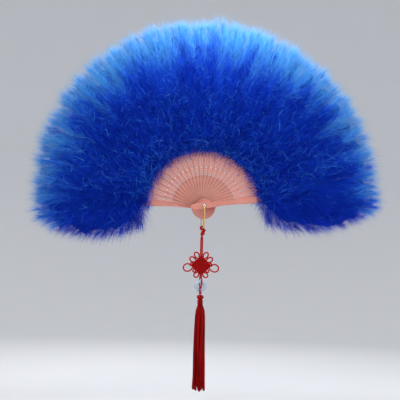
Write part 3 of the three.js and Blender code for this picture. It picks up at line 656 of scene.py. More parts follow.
def barb_mesh(base, aim, curl, length, radius, shade, rings, dice):
    """Three-sided spindles, one for each row of base: the centre line starts there in a point, heads along
    aim and turns steadily by curl, each of the rings is a triangle across it, and it ends in a point. Returns
    points, quads, tris and uv, with u along the barb and v its shade."""
    count = len(base)
    share = np.linspace(0, 1, rings + 2) ** BARB_SWELL
    middle = (share[1:] + share[:-1]) / 2
    heading = unit(aim[:, None] + curl[:, None] * middle[None, :, None])
    steps = heading * length[:, None, None] * np.diff(share)[None, :, None]
    line = base[:, None] + np.concatenate([np.zeros((count, 1, 3)), np.cumsum(steps, 1)], 1)
    side = unit(np.cross(aim, dice.normal(0, 1, (count, 3))))
    other = np.cross(aim, side)
    turn = 2 * np.pi * np.arange(3) / 3
    ring = side[:, None] * np.cos(turn)[None, :, None] + other[:, None] * np.sin(turn)[None, :, None]
    thick = radius[:, None] * (1 - 0.6 * share[1:-1] ** 1.5)[None]
    sections = line[:, 1:-1, None] + ring[:, None] * thick[:, :, None, None]
    points = np.concatenate([line[:, :1], sections.reshape(count, 3 * rings, 3), line[:, -1:]], 1)
    tip = 3 * rings + 1
    first = (tip + 1) * np.arange(count)[:, None, None]
    quads = 1 + grid_quads(rings, 3)
    root_fan = [[0, 2, 1], [0, 3, 2], [0, 1, 3]]
    tip_fan = [[tip - 3, tip - 2, tip], [tip - 2, tip - 1, tip], [tip - 1, tip - 3, tip]]
    along = 0.01 + 0.98 * np.concatenate([[0], np.repeat(share[1:-1], 3), [1]])
    lanes = np.concatenate([[0.012], np.tile([0.0, 0.012, 0.024], rings), [0.012]])
    uv = np.stack(np.broadcast_arrays(along[None], np.clip(shade, 0, 0.96)[:, None] + lanes[None]), -1)
    return (points.reshape(-1, 3), (first + quads[None]).reshape(-1, 4),
            (first + np.array(root_fan + tip_fan)[None]).reshape(-1, 3), uv.reshape(-1, 2))


def joined(shapes):
    """Several shapes of points, quads, tris and uv as one."""
    starts = np.cumsum([0] + [len(shape[0]) for shape in shapes])
    return (np.concatenate([shape[0] for shape in shapes]),
            np.concatenate([shape[1] + start for shape, start in zip(shapes, starts)]),
            np.concatenate([shape[2] + start for shape, start in zip(shapes, starts)]),
            np.concatenate([shape[3] for shape in shapes]))


def plume_mesh(leaf, reach, edges, lobe, seed):
    """One plume in the open fan. A feather's shaft runs straight from start to end in the blade's plane while
    its depth rises to its layer of the down; its barbs leave to both sides and outwards, at an angle that
    closes towards the tip, and bend along the shaft. Those that end near the rim are lighter: partly the
    down's own paler tips, partly painted light from above shining through them, strongest on the upper
    blades."""
    dice = np.random.default_rng(seed)
    shafts = feather_shafts(reach, edges, lobe, dice)
    counts = (BARBS_PER_METRE * np.hypot(shafts[2] - shafts[0], shafts[3] - shafts[1])).astype(int)
    tone = np.repeat(dice.normal(0, TONE_PLAY, len(counts)), counts)
    early = np.repeat(dice.normal(0, EARLY_PLAY, len(counts)), counts)
    shafts = [np.repeat(trait, counts) for trait in shafts]
    start, start_side, end, end_side, face, layer, scale, spread = shafts
    count = len(start)

    def shaft(s):
        u = start + (end - start) * s
        deep = face * layer * down_depth(u, reach) * (1 - (1 - s) ** 4)
        return np.stack([u, deep, start_side + (end_side - start_side) * s], -1)

    s = dice.uniform(0.01, 1, count) ** 0.8
    base = shaft(s)
    tangent = unit(shaft(s + 0.02) - base)
    outwards = np.stack([0 * s, face, 0 * s], -1)
    across = unit(np.cross(tangent, outwards))
    outwards = np.cross(across, tangent)
    side = np.where(np.arange(count) % 2 == 0, 1.0, -1.0)
    about = np.radians(dice.normal(BARB_SIDE, BARB_SIDE_PLAY, count))
    perp = across * (side * np.sin(about))[:, None] + outwards * np.cos(about)[:, None]
    opening = np.radians(spread - (spread - TIP_OPENING) * s ** 1.3 + dice.normal(0, OPENING_PLAY, count))
    aim = unit(tangent * np.cos(opening)[:, None] + perp * np.sin(opening)[:, None])
    wander = dice.normal(0, BEND_PLAY, (count, 3))
    angle = math.radians(leaf["angle"])
    down = np.array([-math.sin(angle), 0, -math.cos(angle)])
    curl = tangent * BEND_ALONG - perp * BEND_BACK + wander + down * BEND_DOWN
    size = BARB_LENGTH * scale * (0.66 + 0.48 * np.sin(np.pi * (0.12 + 0.76 * s)))
    size = size * dice.uniform(0.7, 1.3, count)
    radius = BARB_RADIUS * dice.uniform(0.75, 1.35, count)
    stray = dice.uniform(0, 1, count) < STRAY_SHARE
    size = np.where(stray, STRAY_LENGTH * size, size)
    radius = np.where(stray, STRAY_RADIUS * radius, radius)
    tip = base + unit(aim + 0.5 * curl) * size[:, None]
    far = np.hypot(tip[:, 0], np.maximum(0, lobe * tip[:, 2]) * 0.5)
    size = size * np.clip(1 - (far - reach - RIM_PLAY) / size, 0.25, 1)
    # Painted light: the band near the rim where the barbs grow lighter is wider, and the lightening stronger,
    # on the upper blades, as if lit from above through the tips
    band = RIM_BAND + RIM_BAND_TOP_LIT * math.sin(angle)
    rim = np.clip((far / reach - 1 + 1.25 * band + early) / band, 0, 1)
    rim = rim * rim * (3 - 2 * rim) * (0.7 + 0.3 * math.sin(angle))
    shade = ROOT_SHADE + tone * (1 - 0.7 * rim) + RIM_SHADE * rim + dice.uniform(0, SHADE_PLAY, count)
    parts = [barb_mesh(base, aim, curl, size, radius, shade, 1, dice)]
    pick = dice.choice(np.flatnonzero(far < 0.93 * reach), CURLS_PER_PLUME)
    curls = len(pick)
    lift = down_depth(base[pick, 0], reach) * dice.uniform(0.1, 0.4, curls)
    parts.append(barb_mesh(
        base[pick] + outwards[pick] * lift[:, None], unit(aim[pick] + dice.normal(0, 0.5, (curls, 3))),
        dice.normal(0, CURL_BEND, (curls, 3)), CURL_LENGTH * dice.uniform(0.5, 1.2, curls),
        BARB_RADIUS * dice.uniform(1.2, 2.0, curls), shade[pick] + dice.uniform(0.18, 0.56, curls), 4, dice))
    parts.append(underdown(reach, lobe, dice))
    points, quads, tris, uv = joined(parts)
    points = to_row(points, leaf["angle"], leaf["y"])
    deep = np.abs(points[:, 1])
    give = DOWN_LIMIT - DOWN_FREE
    pressed = DOWN_FREE + give * np.tanh((deep - DOWN_FREE) / give)
    points[:, 1] = np.sign(points[:, 1]) * np.where(deep > DOWN_FREE, pressed, deep)
    return points, quads, tris, uv


def add_ramp(tree, first, last, *between):
    """A colour ramp between and through stops of a place and a colour."""
    node = add_node(tree, "ShaderNodeValToRGB")
    stops = node.color_ramp.elements
    for index, (place, colour) in enumerate((first, last)):
        stops[index].position = place
        stops[index].color = colour
    for place, colour in between:
        stops.new(place).color = colour
    return node


blue_down, tree, shader = finish_nodes("blue_down")
map_place = add_node(tree, "ShaderNodeUVMap", uv_map="OFBake")
split = add_node(tree, "ShaderNodeSeparateXYZ")
dye = add_ramp(tree, (0.06, DEEP_BLUE), (0.92, AZURE), (0.42, MIDDLE_BLUE), (0.66, BRIGHT_BLUE))
lift = add_node(tree, "ShaderNodeMath", operation="MULTIPLY_ADD")
lift.inputs[1].default_value = TIP_LIFT
link(tree, (map_place, "UV", split, "Vector"), (split, "X", lift, 0), (split, "Y", lift, 2),
     (lift, "Value", dye, "Fac"), (dye, "Color", shader, "Base Color"))
set_inputs(shader, Roughness=0.6, Specular_IOR_Level=0.06)

for index, leaf in enumerate(leaves):
    lobe = {0: -1, len(leaves) - 1: 1}.get(index, 0)
    edges = {-1: (-OVERHANG, FRONT_GUARD_GAP - STICK_STEP / 2), 0: (-STICK_STEP / 2, STICK_STEP / 2),
             1: (STICK_STEP / 2 - REAR_GUARD_GAP, OVERHANG)}[lobe]
    turn = math.radians(leaf["angle"])
    reach = REACH + REACH_UP * math.sin(turn) ** REACH_UP_POWER + REACH_RIGHT * math.cos(turn)
    plume = plume_mesh(leaf, reach, edges, lobe, PLUME_SEED + index)
    piece = make_piece("down_" + leaf["plume"], plume, blue_down, "OFBake")
    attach(piece, leaf["body"])
    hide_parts(leaf["plume"])


# Linking ribbon: a thin woven strip glued behind every tang, out of sight in the down, that sets how far the
# fan opens. Each stretch between the middles of two gaps goes with its own blade when the fan shuts.
RIBBON_RADIUS = 150 * MM
RIBBON_WIDTH = 8 * MM
RIBBON_THICKNESS = 0.25 * MM
RIBBON_SEAT = 0.85 * MM
RIBBON_END = 3 * MM
RIBBON_BLUE = (0.006, 0.03, 0.26, 1)
RIBBON_CROWN = (0.012, 0.055, 0.4, 1)
RIBBON_CREASE = math.radians(35)

ribbon_weave, tree, shader = finish_nodes("ribbon_weave")
place = add_node(tree, "ShaderNodeTexCoord")
threads = add_node(tree, "ShaderNodeTexWave", in_Scale=900.0, in_Distortion=0.6)
tone = add_node(tree, "ShaderNodeMix", data_type="RGBA", in_A=RIBBON_BLUE, in_B=RIBBON_CROWN)
relief = add_node(tree, "ShaderNodeBump", in_Strength=0.3, in_Distance=0.0001)
link(tree, (place, "Object", threads, "Vector"), (threads, "Fac", tone, "Factor"),
     (tone, "Result", shader, "Base Color"), (threads, "Fac", relief, "Height"),
     (relief, "Normal", shader, "Normal"))
set_inputs(shader, Roughness=0.6)

guard_seat = (GUARD_THICKNESS - STICK_THICKNESS) / 2 + RIBBON_SEAT
ribbon_depths = [leaf["y"] + RIBBON_SEAT for leaf in leaves]
ribbon_depths[0] = front_leaf["y"] + guard_seat
ribbon_depths[-1] = rear_leaf["y"] - guard_seat
ribbon_stops = [(leaf["angle"], y) for leaf, y in zip(leaves, ribbon_depths)]
overlap = math.degrees(RIBBON_END / RIBBON_RADIUS)
for index, leaf in enumerate(leaves):
    here = np.array(ribbon_stops[index])
    before = (here + ribbon_stops[index - 1]) / 2 if index else here - [overlap, 0]
    after = (here + ribbon_stops[index + 1]) / 2 if index + 1 < len(leaves) else here + [overlap, 0]
    stops = np.concatenate([np.linspace(before, here, 4)[:-1], np.linspace(here, after, 4)])
    turn = np.radians(stops[:, 0])
    corner = np.array([(-1, -1), (1, -1), (1, 1), (-1, 1)]) / 2
    radius = RIBBON_RADIUS + corner[None, :, 0] * RIBBON_WIDTH
    depth = stops[:, 1:] + corner[None, :, 1] * RIBBON_THICKNESS
    points = np.stack([radius * np.cos(turn)[:, None], depth, radius * np.sin(turn)[:, None]], -1)
    caps = np.array([[3, 2, 1, 0], 4 * (len(stops) - 1) + np.arange(4)])
    quads = np.concatenate([grid_quads(len(stops), 4), caps])
    piece = make_piece(f"ribbon_{index:02d}", (points.reshape(-1, 3), quads, []), ribbon_weave)
    piece.data.set_sharp_from_angle(angle=RIBBON_CREASE)
    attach(piece, leaf["body"])
    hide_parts("linking_ribbon")


# Rivet and cap: a bright plated pin with a domed head in front, through every blade and both eyes of the
# bail, and a domed cap pressed on its rear end.
SHANK_RADIUS = 1.2 * MM
RIVET_HEAD_HEIGHT = 1.4 * MM
SOCKET_DEPTH, SOCKET_WALL = 0.7 * MM, 0.3 * MM
NEAR_AXIS = 0.02 * MM
METAL, METAL_SHADE = (0.86, 0.86, 0.87, 1), (0.74, 0.74, 0.76, 1)
RIVET_CREASE = math.radians(40)
rivet_low, rivet_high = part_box("rivet")
cap_low, cap_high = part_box("rivet_cap")


def turned_about_y(profile, sides, closed=False):
    """A profile of (radius, depth) turned about the rivet's axis, +Y."""
    points, quads, fans = turned(profile, sides, closed)
    return points[:, [1, 2, 0]], quads, fans


def dome(radius, foot, top):
    """Profile of a dome from its crown at the axis down to its rim: a quarter ellipse with a short rim."""
    t = np.linspace(0.02, np.pi / 2, 14)
    rim = foot + 0.25 * (top - foot)
    return np.stack([radius * np.sin(t), rim + (top - rim) * np.cos(t)], -1)


bright_metal, tree, shader = finish_nodes("bright_metal")
mottled(tree, shader, METAL, METAL_SHADE, scale=700.0, rough=(0.1, 0.2), bump=0.04)
set_inputs(shader, Metallic=1.0)

rivet_radius = rivet_high.x
rivet_seat = rivet_low.y + RIVET_HEAD_HEIGHT
rivet_profile = np.concatenate([
    dome(rivet_radius, rivet_seat, rivet_low.y),
    [(rivet_radius, rivet_seat), (SHANK_RADIUS, rivet_seat)],
    [(SHANK_RADIUS, rivet_high.y), (NEAR_AXIS, rivet_high.y)],
])
socket_radius, socket_end = SHANK_RADIUS + SOCKET_WALL, cap_low.y + SOCKET_DEPTH
cap_profile = np.concatenate([
    [(NEAR_AXIS, socket_end), (socket_radius, socket_end)],
    [(socket_radius, cap_low.y), (cap_high.x, cap_low.y)],
    dome(cap_high.x, cap_low.y, cap_high.y)[::-1],
])
for name, node, profile in (("rivet_pin", "rivet", rivet_profile), ("rivet_dome", "rivet_cap", cap_profile)):
    piece = make_piece(name, turned_about_y(profile, 32), bright_metal)
    piece.data.set_sharp_from_angle(angle=RIVET_CREASE)
    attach(piece, "front_blade")
    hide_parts(node)


# Bail: one brass wire bent into a narrow U that straddles the heads of the sticks, with a flattened eye at
# each end on the rivet.
WIRE_RADIUS = 1.5 * MM
WIRE_START = -2.7 * MM
BAIL_CORNER = 5 * MM
EYE_RADIUS = 3.3 * MM
EYE_THICKNESS = 0.9 * MM
EYE_BORE = 1.5 * MM
BRASS, BRASS_SHADE = (0.80, 0.58, 0.24, 1), (0.62, 0.40, 0.13, 1)
bail_low, bail_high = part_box("bail")
bail_side = bail_high.y - WIRE_RADIUS
bail_bar = bail_low.z + WIRE_RADIUS


def tube(path, radius, sides):
    """A round bar along a path, whose section is carried from point to point without twisting. Returns
    points, quads, end fans and uv, with u along the bar in metres and v round it."""
    path = np.asarray(path, float)
    ahead = unit(np.concatenate([path[1:2] - path[:1], path[2:] - path[:-2], path[-1:] - path[-2:-1]]))
    across = np.zeros_like(path)
    guess = np.array([1.0, 0, 0]) if abs(ahead[0, 0]) < 0.9 else np.array([0, 1.0, 0])
    for i, heading in enumerate(ahead):
        guess = guess - heading * (guess @ heading)
        guess = guess / np.linalg.norm(guess)
        across[i] = guess
    up = np.cross(ahead, across)
    turn = np.linspace(0, 2 * np.pi, sides, endpoint=False)
    ring = across[:, None] * np.cos(turn)[None, :, None] + up[:, None] * np.sin(turn)[None, :, None]
    points, quads, fans = ringed(path[:, None] + ring * radius)
    run = np.concatenate([[0], np.cumsum(np.linalg.norm(np.diff(path, axis=0), axis=1))])
    uv = np.stack(np.broadcast_arrays(run[:, None], np.abs(turn / np.pi - 1)[None]), -1).reshape(-1, 2)
    return points, quads, fans, np.concatenate([uv, [[run[0], 0.5], [run[-1], 0.5]]])


def squarish(wave):
    """A sine or cosine pressed towards its ends, which makes a rounded square of a circle."""
    return np.sign(wave) * np.abs(wave) ** 0.6


brass, tree, shader = finish_nodes("brass")
mottled(tree, shader, BRASS, BRASS_SHADE, scale=260.0, rough=(0.2, 0.36), bump=0.05)
set_inputs(shader, Metallic=1.0)

corner = np.radians(np.linspace(0, 90, 10))
leg = np.linspace(WIRE_START, bail_bar + BAIL_CORNER, 6)[:-1]
bail_half = np.concatenate([
    np.stack([0 * leg, 0 * leg - bail_side, leg], -1),
    np.stack([0 * corner, BAIL_CORNER - bail_side - BAIL_CORNER * np.cos(corner),
              bail_bar + BAIL_CORNER - BAIL_CORNER * np.sin(corner)], -1),
])
bail_path = np.concatenate([bail_half, bail_half[::-1] * [1, -1, 1]])
wire_points, wire_quads, wire_fans, _ = tube(bail_path, WIRE_RADIUS, 14)
eye_at = bail_side - WIRE_RADIUS
eye_turn = np.linspace(0, 2 * np.pi, 12, endpoint=False)
eye_profile = np.stack([
    (EYE_RADIUS + EYE_BORE) / 2 + (EYE_RADIUS - EYE_BORE) / 2 * squarish(np.cos(eye_turn)),
    eye_at + EYE_THICKNESS / 2 + EYE_THICKNESS / 2 * squarish(np.sin(eye_turn)),
], -1)
eye_points, eye_quads, _ = turned_about_y(eye_profile, 28, closed=True)
shift = len(wire_points)
bail_points = np.concatenate([wire_points, eye_points, eye_points * [1, -1, 1]])
bail_quads = np.concatenate([wire_quads, eye_quads + shift, (eye_quads + shift + len(eye_points))[:, ::-1]])
piece = make_piece("wire_bail", (bail_points, bail_quads, wire_fans), brass)
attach(piece, "bail")
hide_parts("bail")


# Pendant cord: one braided red cord, doubled and hitched on the bail, tied into a pan chang knot with ears,
# led through the ring and ended in the tassel's head. Its route runs like that of the frame's solid.
CORD_DIAMETER = 2.5
PENDANT_Y = 5.5
STRAND = 1.35
BAR_Z = -38.0
KNOT_Z = -104.0
KNOT_ROWS = 7
KNOT_SPACING = 4.0
KNOT_DIAGONAL = KNOT_SPACING * math.sqrt(0.5)
WEAVE_DEPTH = 1.4
CROSSING_SHARE = 0.25
EAR_ROOT = 0.35
RING_Z = -139.3
RING_PASS = [(-14.2, 0), (-13.1, 0.3), (-12, 1.9), (-10.7, 3.1), (-9, 3.7), (-7, 3.75), (-4.4, 3), (-2, 1.5)]
TIGHT = {"length": KNOT_SPACING, "width": KNOT_SPACING, "lean": 0, "turn": 0, "points": 4}
KNOT_TURNS = [
    TIGHT,
    {"length": 9, "width": 7.6, "lean": 1.2, "turn": 0, "points": 8},
    {"length": 11, "width": 8.2, "lean": 1.45, "turn": 14, "points": 9},
    {"length": 5.4, "width": 4.6, "lean": -1.45, "turn": 0, "points": 6},
    {"length": 11, "width": 8.2, "lean": -1.45, "turn": -12, "points": 9},
    {"length": 15, "width": 13, "lean": 0, "turn": -28, "points": 11},
]
KNOT_LEAD = [(-1.5, -0.9, 2.5), (-STRAND, -0.1, 6)]
HITCH_LEAD = [(-STRAND, 0, -20.5), (-1, -1, -16.8)]
HITCH = [
    (0.24, -1.32, -13.44), (1.68, -1.32, -9), (2.64, -1.32, -5.4), (2.94, -1.32, -2.4), (2.82, -1.32, 0),
    (2.45, -1.32, 1.42), (1.42, -1.32, 2.45), (0, -1.38, 2.82), (-1.42, -1.44, 2.45), (-2.45, -1.62, 1.42),
    (-2.82, -1.92, 0), (-2.45, -2.52, -1.44), (-1.08, -3.48, -2.88), (1.08, -4.08, -3.3), (3.24, -3.96, -3.6),
    (4.92, -3, -3.96), (5.76, -1.56, -4.2),
]
BIGHT = (5.94, 0, -4.26)
INNER_RADIUS = 0.8
HITCH_TURNS = 3.5
HITCH_FROM, HITCH_TO = (2.2, -5.6), (0.6, -12.4)
HITCH_WIDE = (2.4, 3.4)
BRAID_PITCH = 0.9 * MM
# The braid's crown colour and the painted shade in its hollows
BRAID_HOLLOW_SHADE, BRAID_CROWN = (0.14, 0.001, 0.0012, 1), (0.58, 0.0025, 0.0025, 1)
# Painted shade: the much darker braid of the knot's inner turns, standing in for the shade in the gaps
# between its rows
SHADOW_HOLLOW, SHADOW_CROWN = (0.03, 0.0004, 0.0005, 1), (0.09, 0.0008, 0.001, 1)


def half_route():
    """Half the cord, in millimetres about the pendant's axis: up through the ring, row by row through the
    knot with an ear or a tight turn at the end of each row, and on to the foot of the hitch."""
    route = [(STRAND, y, RING_Z + z) for z, y in RING_PASS]
    route.append((STRAND, 0, RING_Z))
    route += [(STRAND, -y, RING_Z - z) for z, y in RING_PASS[::-1]]
    half = (KNOT_ROWS - 1) / 2

    def lattice(row, column, depth):
        down = (column + row - 2 * half) * KNOT_DIAGONAL
        route.append(((column - row) * KNOT_DIAGONAL, depth, KNOT_Z - down))

    for row in range(KNOT_ROWS - 1, -1, -1):
        outward = -1 if (KNOT_ROWS - 1 - row) % 2 == 0 else 1
        first = 0 if outward > 0 else KNOT_ROWS - 1
        for step in range(KNOT_ROWS):
            column = first + outward * step
            depth = -WEAVE_DEPTH if (row + column) % 2 == 0 else WEAVE_DEPTH
            lattice(row, column - outward * CROSSING_SHARE, depth)
            lattice(row, column + outward * CROSSING_SHARE, depth)
        if row == 0:
            break
        edge = KNOT_ROWS - 1 if outward > 0 else 0
        ear = KNOT_TURNS[KNOT_ROWS - 1 - row]
        opened = math.asin(min(1, KNOT_SPACING / ear["width"]))
        for step in range(1, ear["points"]):
            share = step / ear["points"]
            phase = (math.pi - opened) * (2 * share - 1)
            out = ear["length"] * (math.cos(opened) + math.cos(phase)) / 2 / KNOT_SPACING + EAR_ROOT
            across = ear["width"] / 2 * math.sin(phase) / KNOT_SPACING
            bent = math.radians(ear["turn"]) * min(1, out)
            sideways = across * math.cos(bent) - out * math.sin(bent)
            along = out * math.cos(bent) + across * math.sin(bent)
            lattice(row - 0.5 - sideways, edge + outward * along,
                    depth * (1 - 2 * share) - ear["lean"] * math.sin(math.pi * share))
    top = KNOT_Z + 2 * half * KNOT_DIAGONAL
    route += [(x, y, top + z) for x, y, z in KNOT_LEAD]
    route.append((-STRAND, 0, (top + BAR_Z) / 2))
    route += [(x, y, BAR_Z + z) for x, y, z in HITCH_LEAD]
    return np.array(route)


first_half = half_route()
hitch_up = np.array(HITCH) + [0, 0, BAR_Z]
cord_route = np.concatenate([
    first_half, hitch_up, [np.add(BIGHT, (0, 0, BAR_Z))], hitch_up[::-1] * [1, -1, 1],
    first_half[::-1] * [-1, -1, 1],
])
cord_line = through(cord_route + [0, PENDANT_Y, 0], 4) * MM


def braid_finish(name, hollow, crown):
    """Braided thread: two crossed waves along the cord's own map, with painted shade in the hollows, which
    are darker than the crowns."""
    material, tree, shader = finish_nodes(name)
    lay = add_node(tree, "ShaderNodeUVMap", uv_map="UVMap")
    stretch = add_node(tree, "ShaderNodeMapping", in_Scale=(1 / BRAID_PITCH, 2.0, 1.0))
    braid = add_node(tree, "ShaderNodeMath", operation="MAXIMUM")
    for place, slope in enumerate((45, -45)):
        lean = add_node(tree, "ShaderNodeVectorRotate", rotation_type="Z_AXIS", in_Angle=math.radians(slope))
        band = add_node(tree, "ShaderNodeTexWave", in_Scale=0.32, in_Distortion=0.3)
        link(tree, (stretch, "Vector", lean, "Vector"), (lean, "Vector", band, "Vector"),
             (band, "Fac", braid, place))
    tone = add_node(tree, "ShaderNodeMix", data_type="RGBA", in_A=hollow, in_B=crown)
    relief = add_node(tree, "ShaderNodeBump", in_Strength=0.5, in_Distance=0.0001)
    link(tree, (lay, "UV", stretch, "Vector"), (braid, "Value", tone, "Factor"),
         (tone, "Result", shader, "Base Color"), (braid, "Value", relief, "Height"),
         (relief, "Normal", shader, "Normal"))
    set_inputs(shader, Roughness=0.5, Specular_IOR_Level=0.12)
    return material


red_braid = braid_finish("red_braid", BRAID_HOLLOW_SHADE, BRAID_CROWN)
painted_shadow_braid = braid_finish("painted_shadow_braid", SHADOW_HOLLOW, SHADOW_CROWN)
cord_piece = make_piece("braided_cord", tube(cord_line, CORD_DIAMETER / 2 * MM, 10), red_braid)
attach(cord_piece, "pendant")
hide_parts("pendant_cord")

# Inner turns of the knot: straight runs of cord both ways in the middle of its depth, which fill the
# gaps between the rows, coloured far darker than the cord as painted shade
inner_runs = []
run_along = np.linspace(-0.2, KNOT_ROWS - 0.8, 9)
for row in np.arange(KNOT_ROWS - 1) + 0.5:
    across = (run_along - row) * KNOT_DIAGONAL
    down = (run_along + row - KNOT_ROWS + 1) * KNOT_DIAGONAL
    for side in (-1, 1):
        run = np.stack([side * across, 0 * across + PENDANT_Y, KNOT_Z - down], -1)
        inner_runs.append(tube(run * MM, INNER_RADIUS * MM, 8))
inner_piece = make_piece("knot_inner_turns", joined(inner_runs), painted_shadow_braid)

# Hitch turns: the cord's last turns, wound tight round both strands under the bail
wind = np.linspace(0, 2 * np.pi * HITCH_TURNS, 90)
down = wind / wind[-1]
hitch_path = np.stack([
    HITCH_FROM[0] + (HITCH_TO[0] - HITCH_FROM[0]) * down + HITCH_WIDE[0] * np.cos(wind),
    PENDANT_Y + HITCH_WIDE[1] * np.sin(wind),
    BAR_Z + HITCH_FROM[1] + (HITCH_TO[1] - HITCH_FROM[1]) * down,
], -1)
hitch_piece = make_piece("hitch_turns", tube(hitch_path * MM, CORD_DIAMETER / 2 * MM, 10), red_braid)
for piece in (inner_piece, hitch_piece):
    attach(piece, "pendant")


# Ring: a polished disc of milky stone-like resin with a round hole. The cord's two strands pass through the
# hole, one from the front and one from the back, and hold it between knot and tassel.
RING_OUTER = 10.8 * MM
RING_HOLE = 4.0 * MM
RING_THICKNESS = 4.6 * MM
MILK, MILK_SHADE = (0.50, 0.57, 0.69, 1), (0.36, 0.43, 0.56, 1)

milky, tree, shader = finish_nodes("milky_resin")
mottled(tree, shader, MILK, MILK_SHADE, scale=130.0, rough=(0.08, 0.16), bump=0.02)
set_inputs(shader, Subsurface_Weight=0.3, Subsurface_Radius=(0.8, 1.0, 1.0), Subsurface_Scale=0.004,
           Coat_Weight=0.4, Coat_Roughness=0.05)

turn = np.linspace(0, 2 * np.pi, 28, endpoint=False)
ring_middle, ring_wall = (RING_OUTER + RING_HOLE) / 2, (RING_OUTER - RING_HOLE) / 2
ring_profile = np.stack([ring_middle + ring_wall * np.cos(turn), RING_THICKNESS / 2 * np.sin(turn)], -1)
ring_points, ring_quads, _ = turned_about_y(ring_profile, 64, closed=True)
ring_points = ring_points + np.array([0, PENDANT_Y, RING_Z]) * MM
ring_piece = make_piece("milky_ring", (ring_points, ring_quads, []), milky)
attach(ring_piece, "pendant")
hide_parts("ring")


# Tassel: a button knot at the top, in which both ends of the cord are tied, thread wound round the neck, and
# a skirt of a few hundred silky threads, gathered in locks that part towards their cut ends.
TASSEL_TOP = -154.2 * MM
HEAD_RADIUS, HEAD_HEIGHT = 6.2 * MM, 9.2 * MM
HEAD_CORD = 1.25 * MM
HEAD_WEAVE = 0.4 * MM
BUTTON_BIGHTS, BUTTON_LEADS, BUTTON_LATITUDE = 5, 3, 1.25
NECK_RADIUS, NECK_HEIGHT = 4.9 * MM, 7.4 * MM
NECK_THREAD = 0.45 * MM
NECK_TURNS = 9
NECK_TUCK = 1.6 * MM
TASSEL_GAP = 0.3 * MM
SKIRT_SEED = 7
SKIRT_LENGTH = 152 * MM
SKIRT_RADII = [(0, 4.9), (0.05, 8), (0.1, 9.8), (0.35, 11.4), (0.85, 12.6), (1, 15)]
LOCKS, LOCK_THREADS = 15, 28
LOCK_TIGHT = 0.58
LOCK_SWAY = 1.3 * MM
THREAD_RADIUS = 0.42 * MM
THREAD_SWAY = 0.35 * MM
THREAD_SHADE, THREAD_RED = (0.075, 0.0005, 0.0006, 1), (0.52, 0.002, 0.002, 1)
axis_point = np.array([0, PENDANT_Y * MM, 0])

red_thread, tree, shader = finish_nodes("red_thread")
place = add_node(tree, "ShaderNodeTexCoord")
stretch = add_node(tree, "ShaderNodeMapping", in_Scale=(1.0, 1.0, 0.04))
streaks = add_node(tree, "ShaderNodeTexNoise", in_Scale=420.0, in_Detail=3.0)
tone = add_ramp(tree, (0.3, THREAD_SHADE), (0.7, THREAD_RED))
link(tree, (place, "Object", stretch, "Vector"), (stretch, "Vector", streaks, "Vector"),
     (streaks, "Fac", tone, "Fac"), (tone, "Color", shader, "Base Color"))
set_inputs(shader, Roughness=0.42, Specular_IOR_Level=0.1)


def turned_core(profile):
    """A plain round core on the pendant's axis, as points, quads, end fans and a plain uv."""
    points, quads, fans = turned(profile, 28)
    return points + axis_point, quads, fans, np.zeros((len(points), 2))


turn = np.linspace(0, 2 * np.pi, 420)
button_middle = TASSEL_TOP - HEAD_HEIGHT / 2
latitude = BUTTON_LATITUDE * np.sin(BUTTON_BIGHTS * turn)
longitude = BUTTON_LEADS * turn
lift = HEAD_WEAVE * np.cos(2 * BUTTON_BIGHTS * turn)
button_radius = HEAD_RADIUS - HEAD_CORD - HEAD_WEAVE + lift
button_path = np.stack([
    button_radius * np.cos(latitude) * np.cos(longitude),
    button_radius * np.cos(latitude) * np.sin(longitude),
    button_middle + (HEAD_HEIGHT / 2 - HEAD_CORD + lift) * np.sin(latitude),
], -1) + axis_point
core_turn = np.linspace(0.02, np.pi - 0.02, 18)
head_core = turned_core(np.stack([
    (HEAD_RADIUS - HEAD_CORD) * np.sin(core_turn), button_middle - HEAD_HEIGHT / 2 * np.cos(core_turn),
], -1))
head_piece = make_piece("button_knot", joined([tube(button_path, HEAD_CORD, 9), head_core])[:3], red_thread)

neck_top = TASSEL_TOP - HEAD_HEIGHT - TASSEL_GAP
neck_foot = neck_top - NECK_HEIGHT
wind_radius = NECK_RADIUS - NECK_THREAD
winds = np.linspace(0, 2 * np.pi * NECK_TURNS, 30 * NECK_TURNS)
wind_path = np.stack([
    wind_radius * np.cos(winds), wind_radius * np.sin(winds),
    neck_top - NECK_THREAD - (NECK_HEIGHT - 2 * NECK_THREAD) * winds / winds[-1],
], -1) + axis_point
neck_core = turned_core([
    (NEAR_AXIS, neck_foot - NECK_TUCK), (wind_radius, neck_foot - NECK_TUCK), (wind_radius, neck_top),
    (NECK_RADIUS - 3 * NECK_THREAD, neck_top + NECK_TUCK), (NEAR_AXIS, neck_top + NECK_TUCK),
])
neck_piece = make_piece("bound_neck", joined([tube(wind_path, NECK_THREAD, 8), neck_core])[:3], red_thread)


def sunflower(count):
    """Places spread evenly over a disc of radius one: n stands at the golden angle times n, at the root of
    its share."""
    number = np.arange(count)
    turn = number * np.pi * (3 - math.sqrt(5))
    return np.sqrt((number + 0.5) / count)[:, None] * np.stack([np.cos(turn), np.sin(turn)], -1)


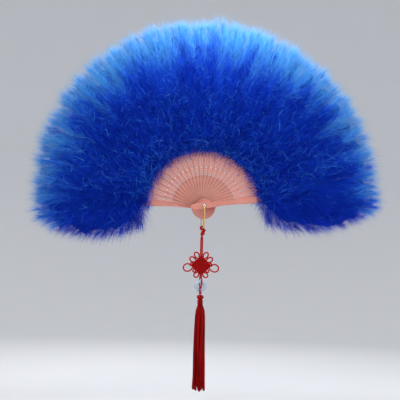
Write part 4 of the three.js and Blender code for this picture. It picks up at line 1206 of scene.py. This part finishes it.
def skirt_threads():
    """Threads gathered in locks: the locks stand like the seeds of a sunflower over the skirt's radius, which
    grows down the skirt, the threads stand likewise in their lock, which draws together towards its end, and
    lock and thread each sway on a slow wave of their own."""
    dice = np.random.default_rng(SKIRT_SEED)
    down = np.linspace(0, 1, 15)
    stops = np.array(SKIRT_RADII)
    radius = np.interp(down, stops[:, 0], stops[:, 1])[:, None] * MM - THREAD_RADIUS

    def sway(count, size):
        wave = dice.uniform(0, 2 * np.pi, (2, count, 1))
        pace = dice.uniform(3, 7, (count, 1))
        swing = np.stack([np.sin(pace * down + wave[0]), np.cos(pace * down + wave[1])], -1)
        return size * swing * down[:, None]

    inner = 1 / math.sqrt(LOCKS)
    lock = (1 - inner) * sunflower(LOCKS)[:, None] * radius + sway(LOCKS, LOCK_SWAY)
    strand = inner * sunflower(LOCK_THREADS)[:, None] * radius * (1.1 - LOCK_TIGHT * down)[:, None]
    flat = (lock[:, None] + strand[None]).reshape(-1, len(down), 2) + sway(LOCKS * LOCK_THREADS, THREAD_SWAY)
    size = np.repeat(dice.uniform(0.92, 1.0, LOCKS), LOCK_THREADS) * dice.uniform(0.96, 1.0, len(flat))
    height = neck_foot - TASSEL_GAP - SKIRT_LENGTH * size[:, None, None] * down[:, None]
    centre = np.concatenate([flat, height], -1)
    ring = np.array([(1, 0, 0), (0, 1, 0), (-1, 0, 0), (0, -1, 0)]) * THREAD_RADIUS
    points = centre[:, :, None] + ring
    count, steps = points.shape[:2]
    first = (4 * steps * np.arange(count))[:, None, None]
    quads = (first + grid_quads(steps, 4)[:, ::-1][None]).reshape(-1, 4)
    caps = (first + np.array([[0, 1, 2, 3], 4 * (steps - 1) + np.array([3, 2, 1, 0])])[None]).reshape(-1, 4)
    return points.reshape(-1, 3) + axis_point, np.concatenate([quads, caps]), []


skirt_piece = make_piece("thread_skirt", skirt_threads(), red_thread)
tassel_pieces = {"tassel_head": head_piece, "tassel_collar": neck_piece, "tassel_skirt": skirt_piece}
for node, piece in tassel_pieces.items():
    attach(piece, "tassel")
    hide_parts(node)
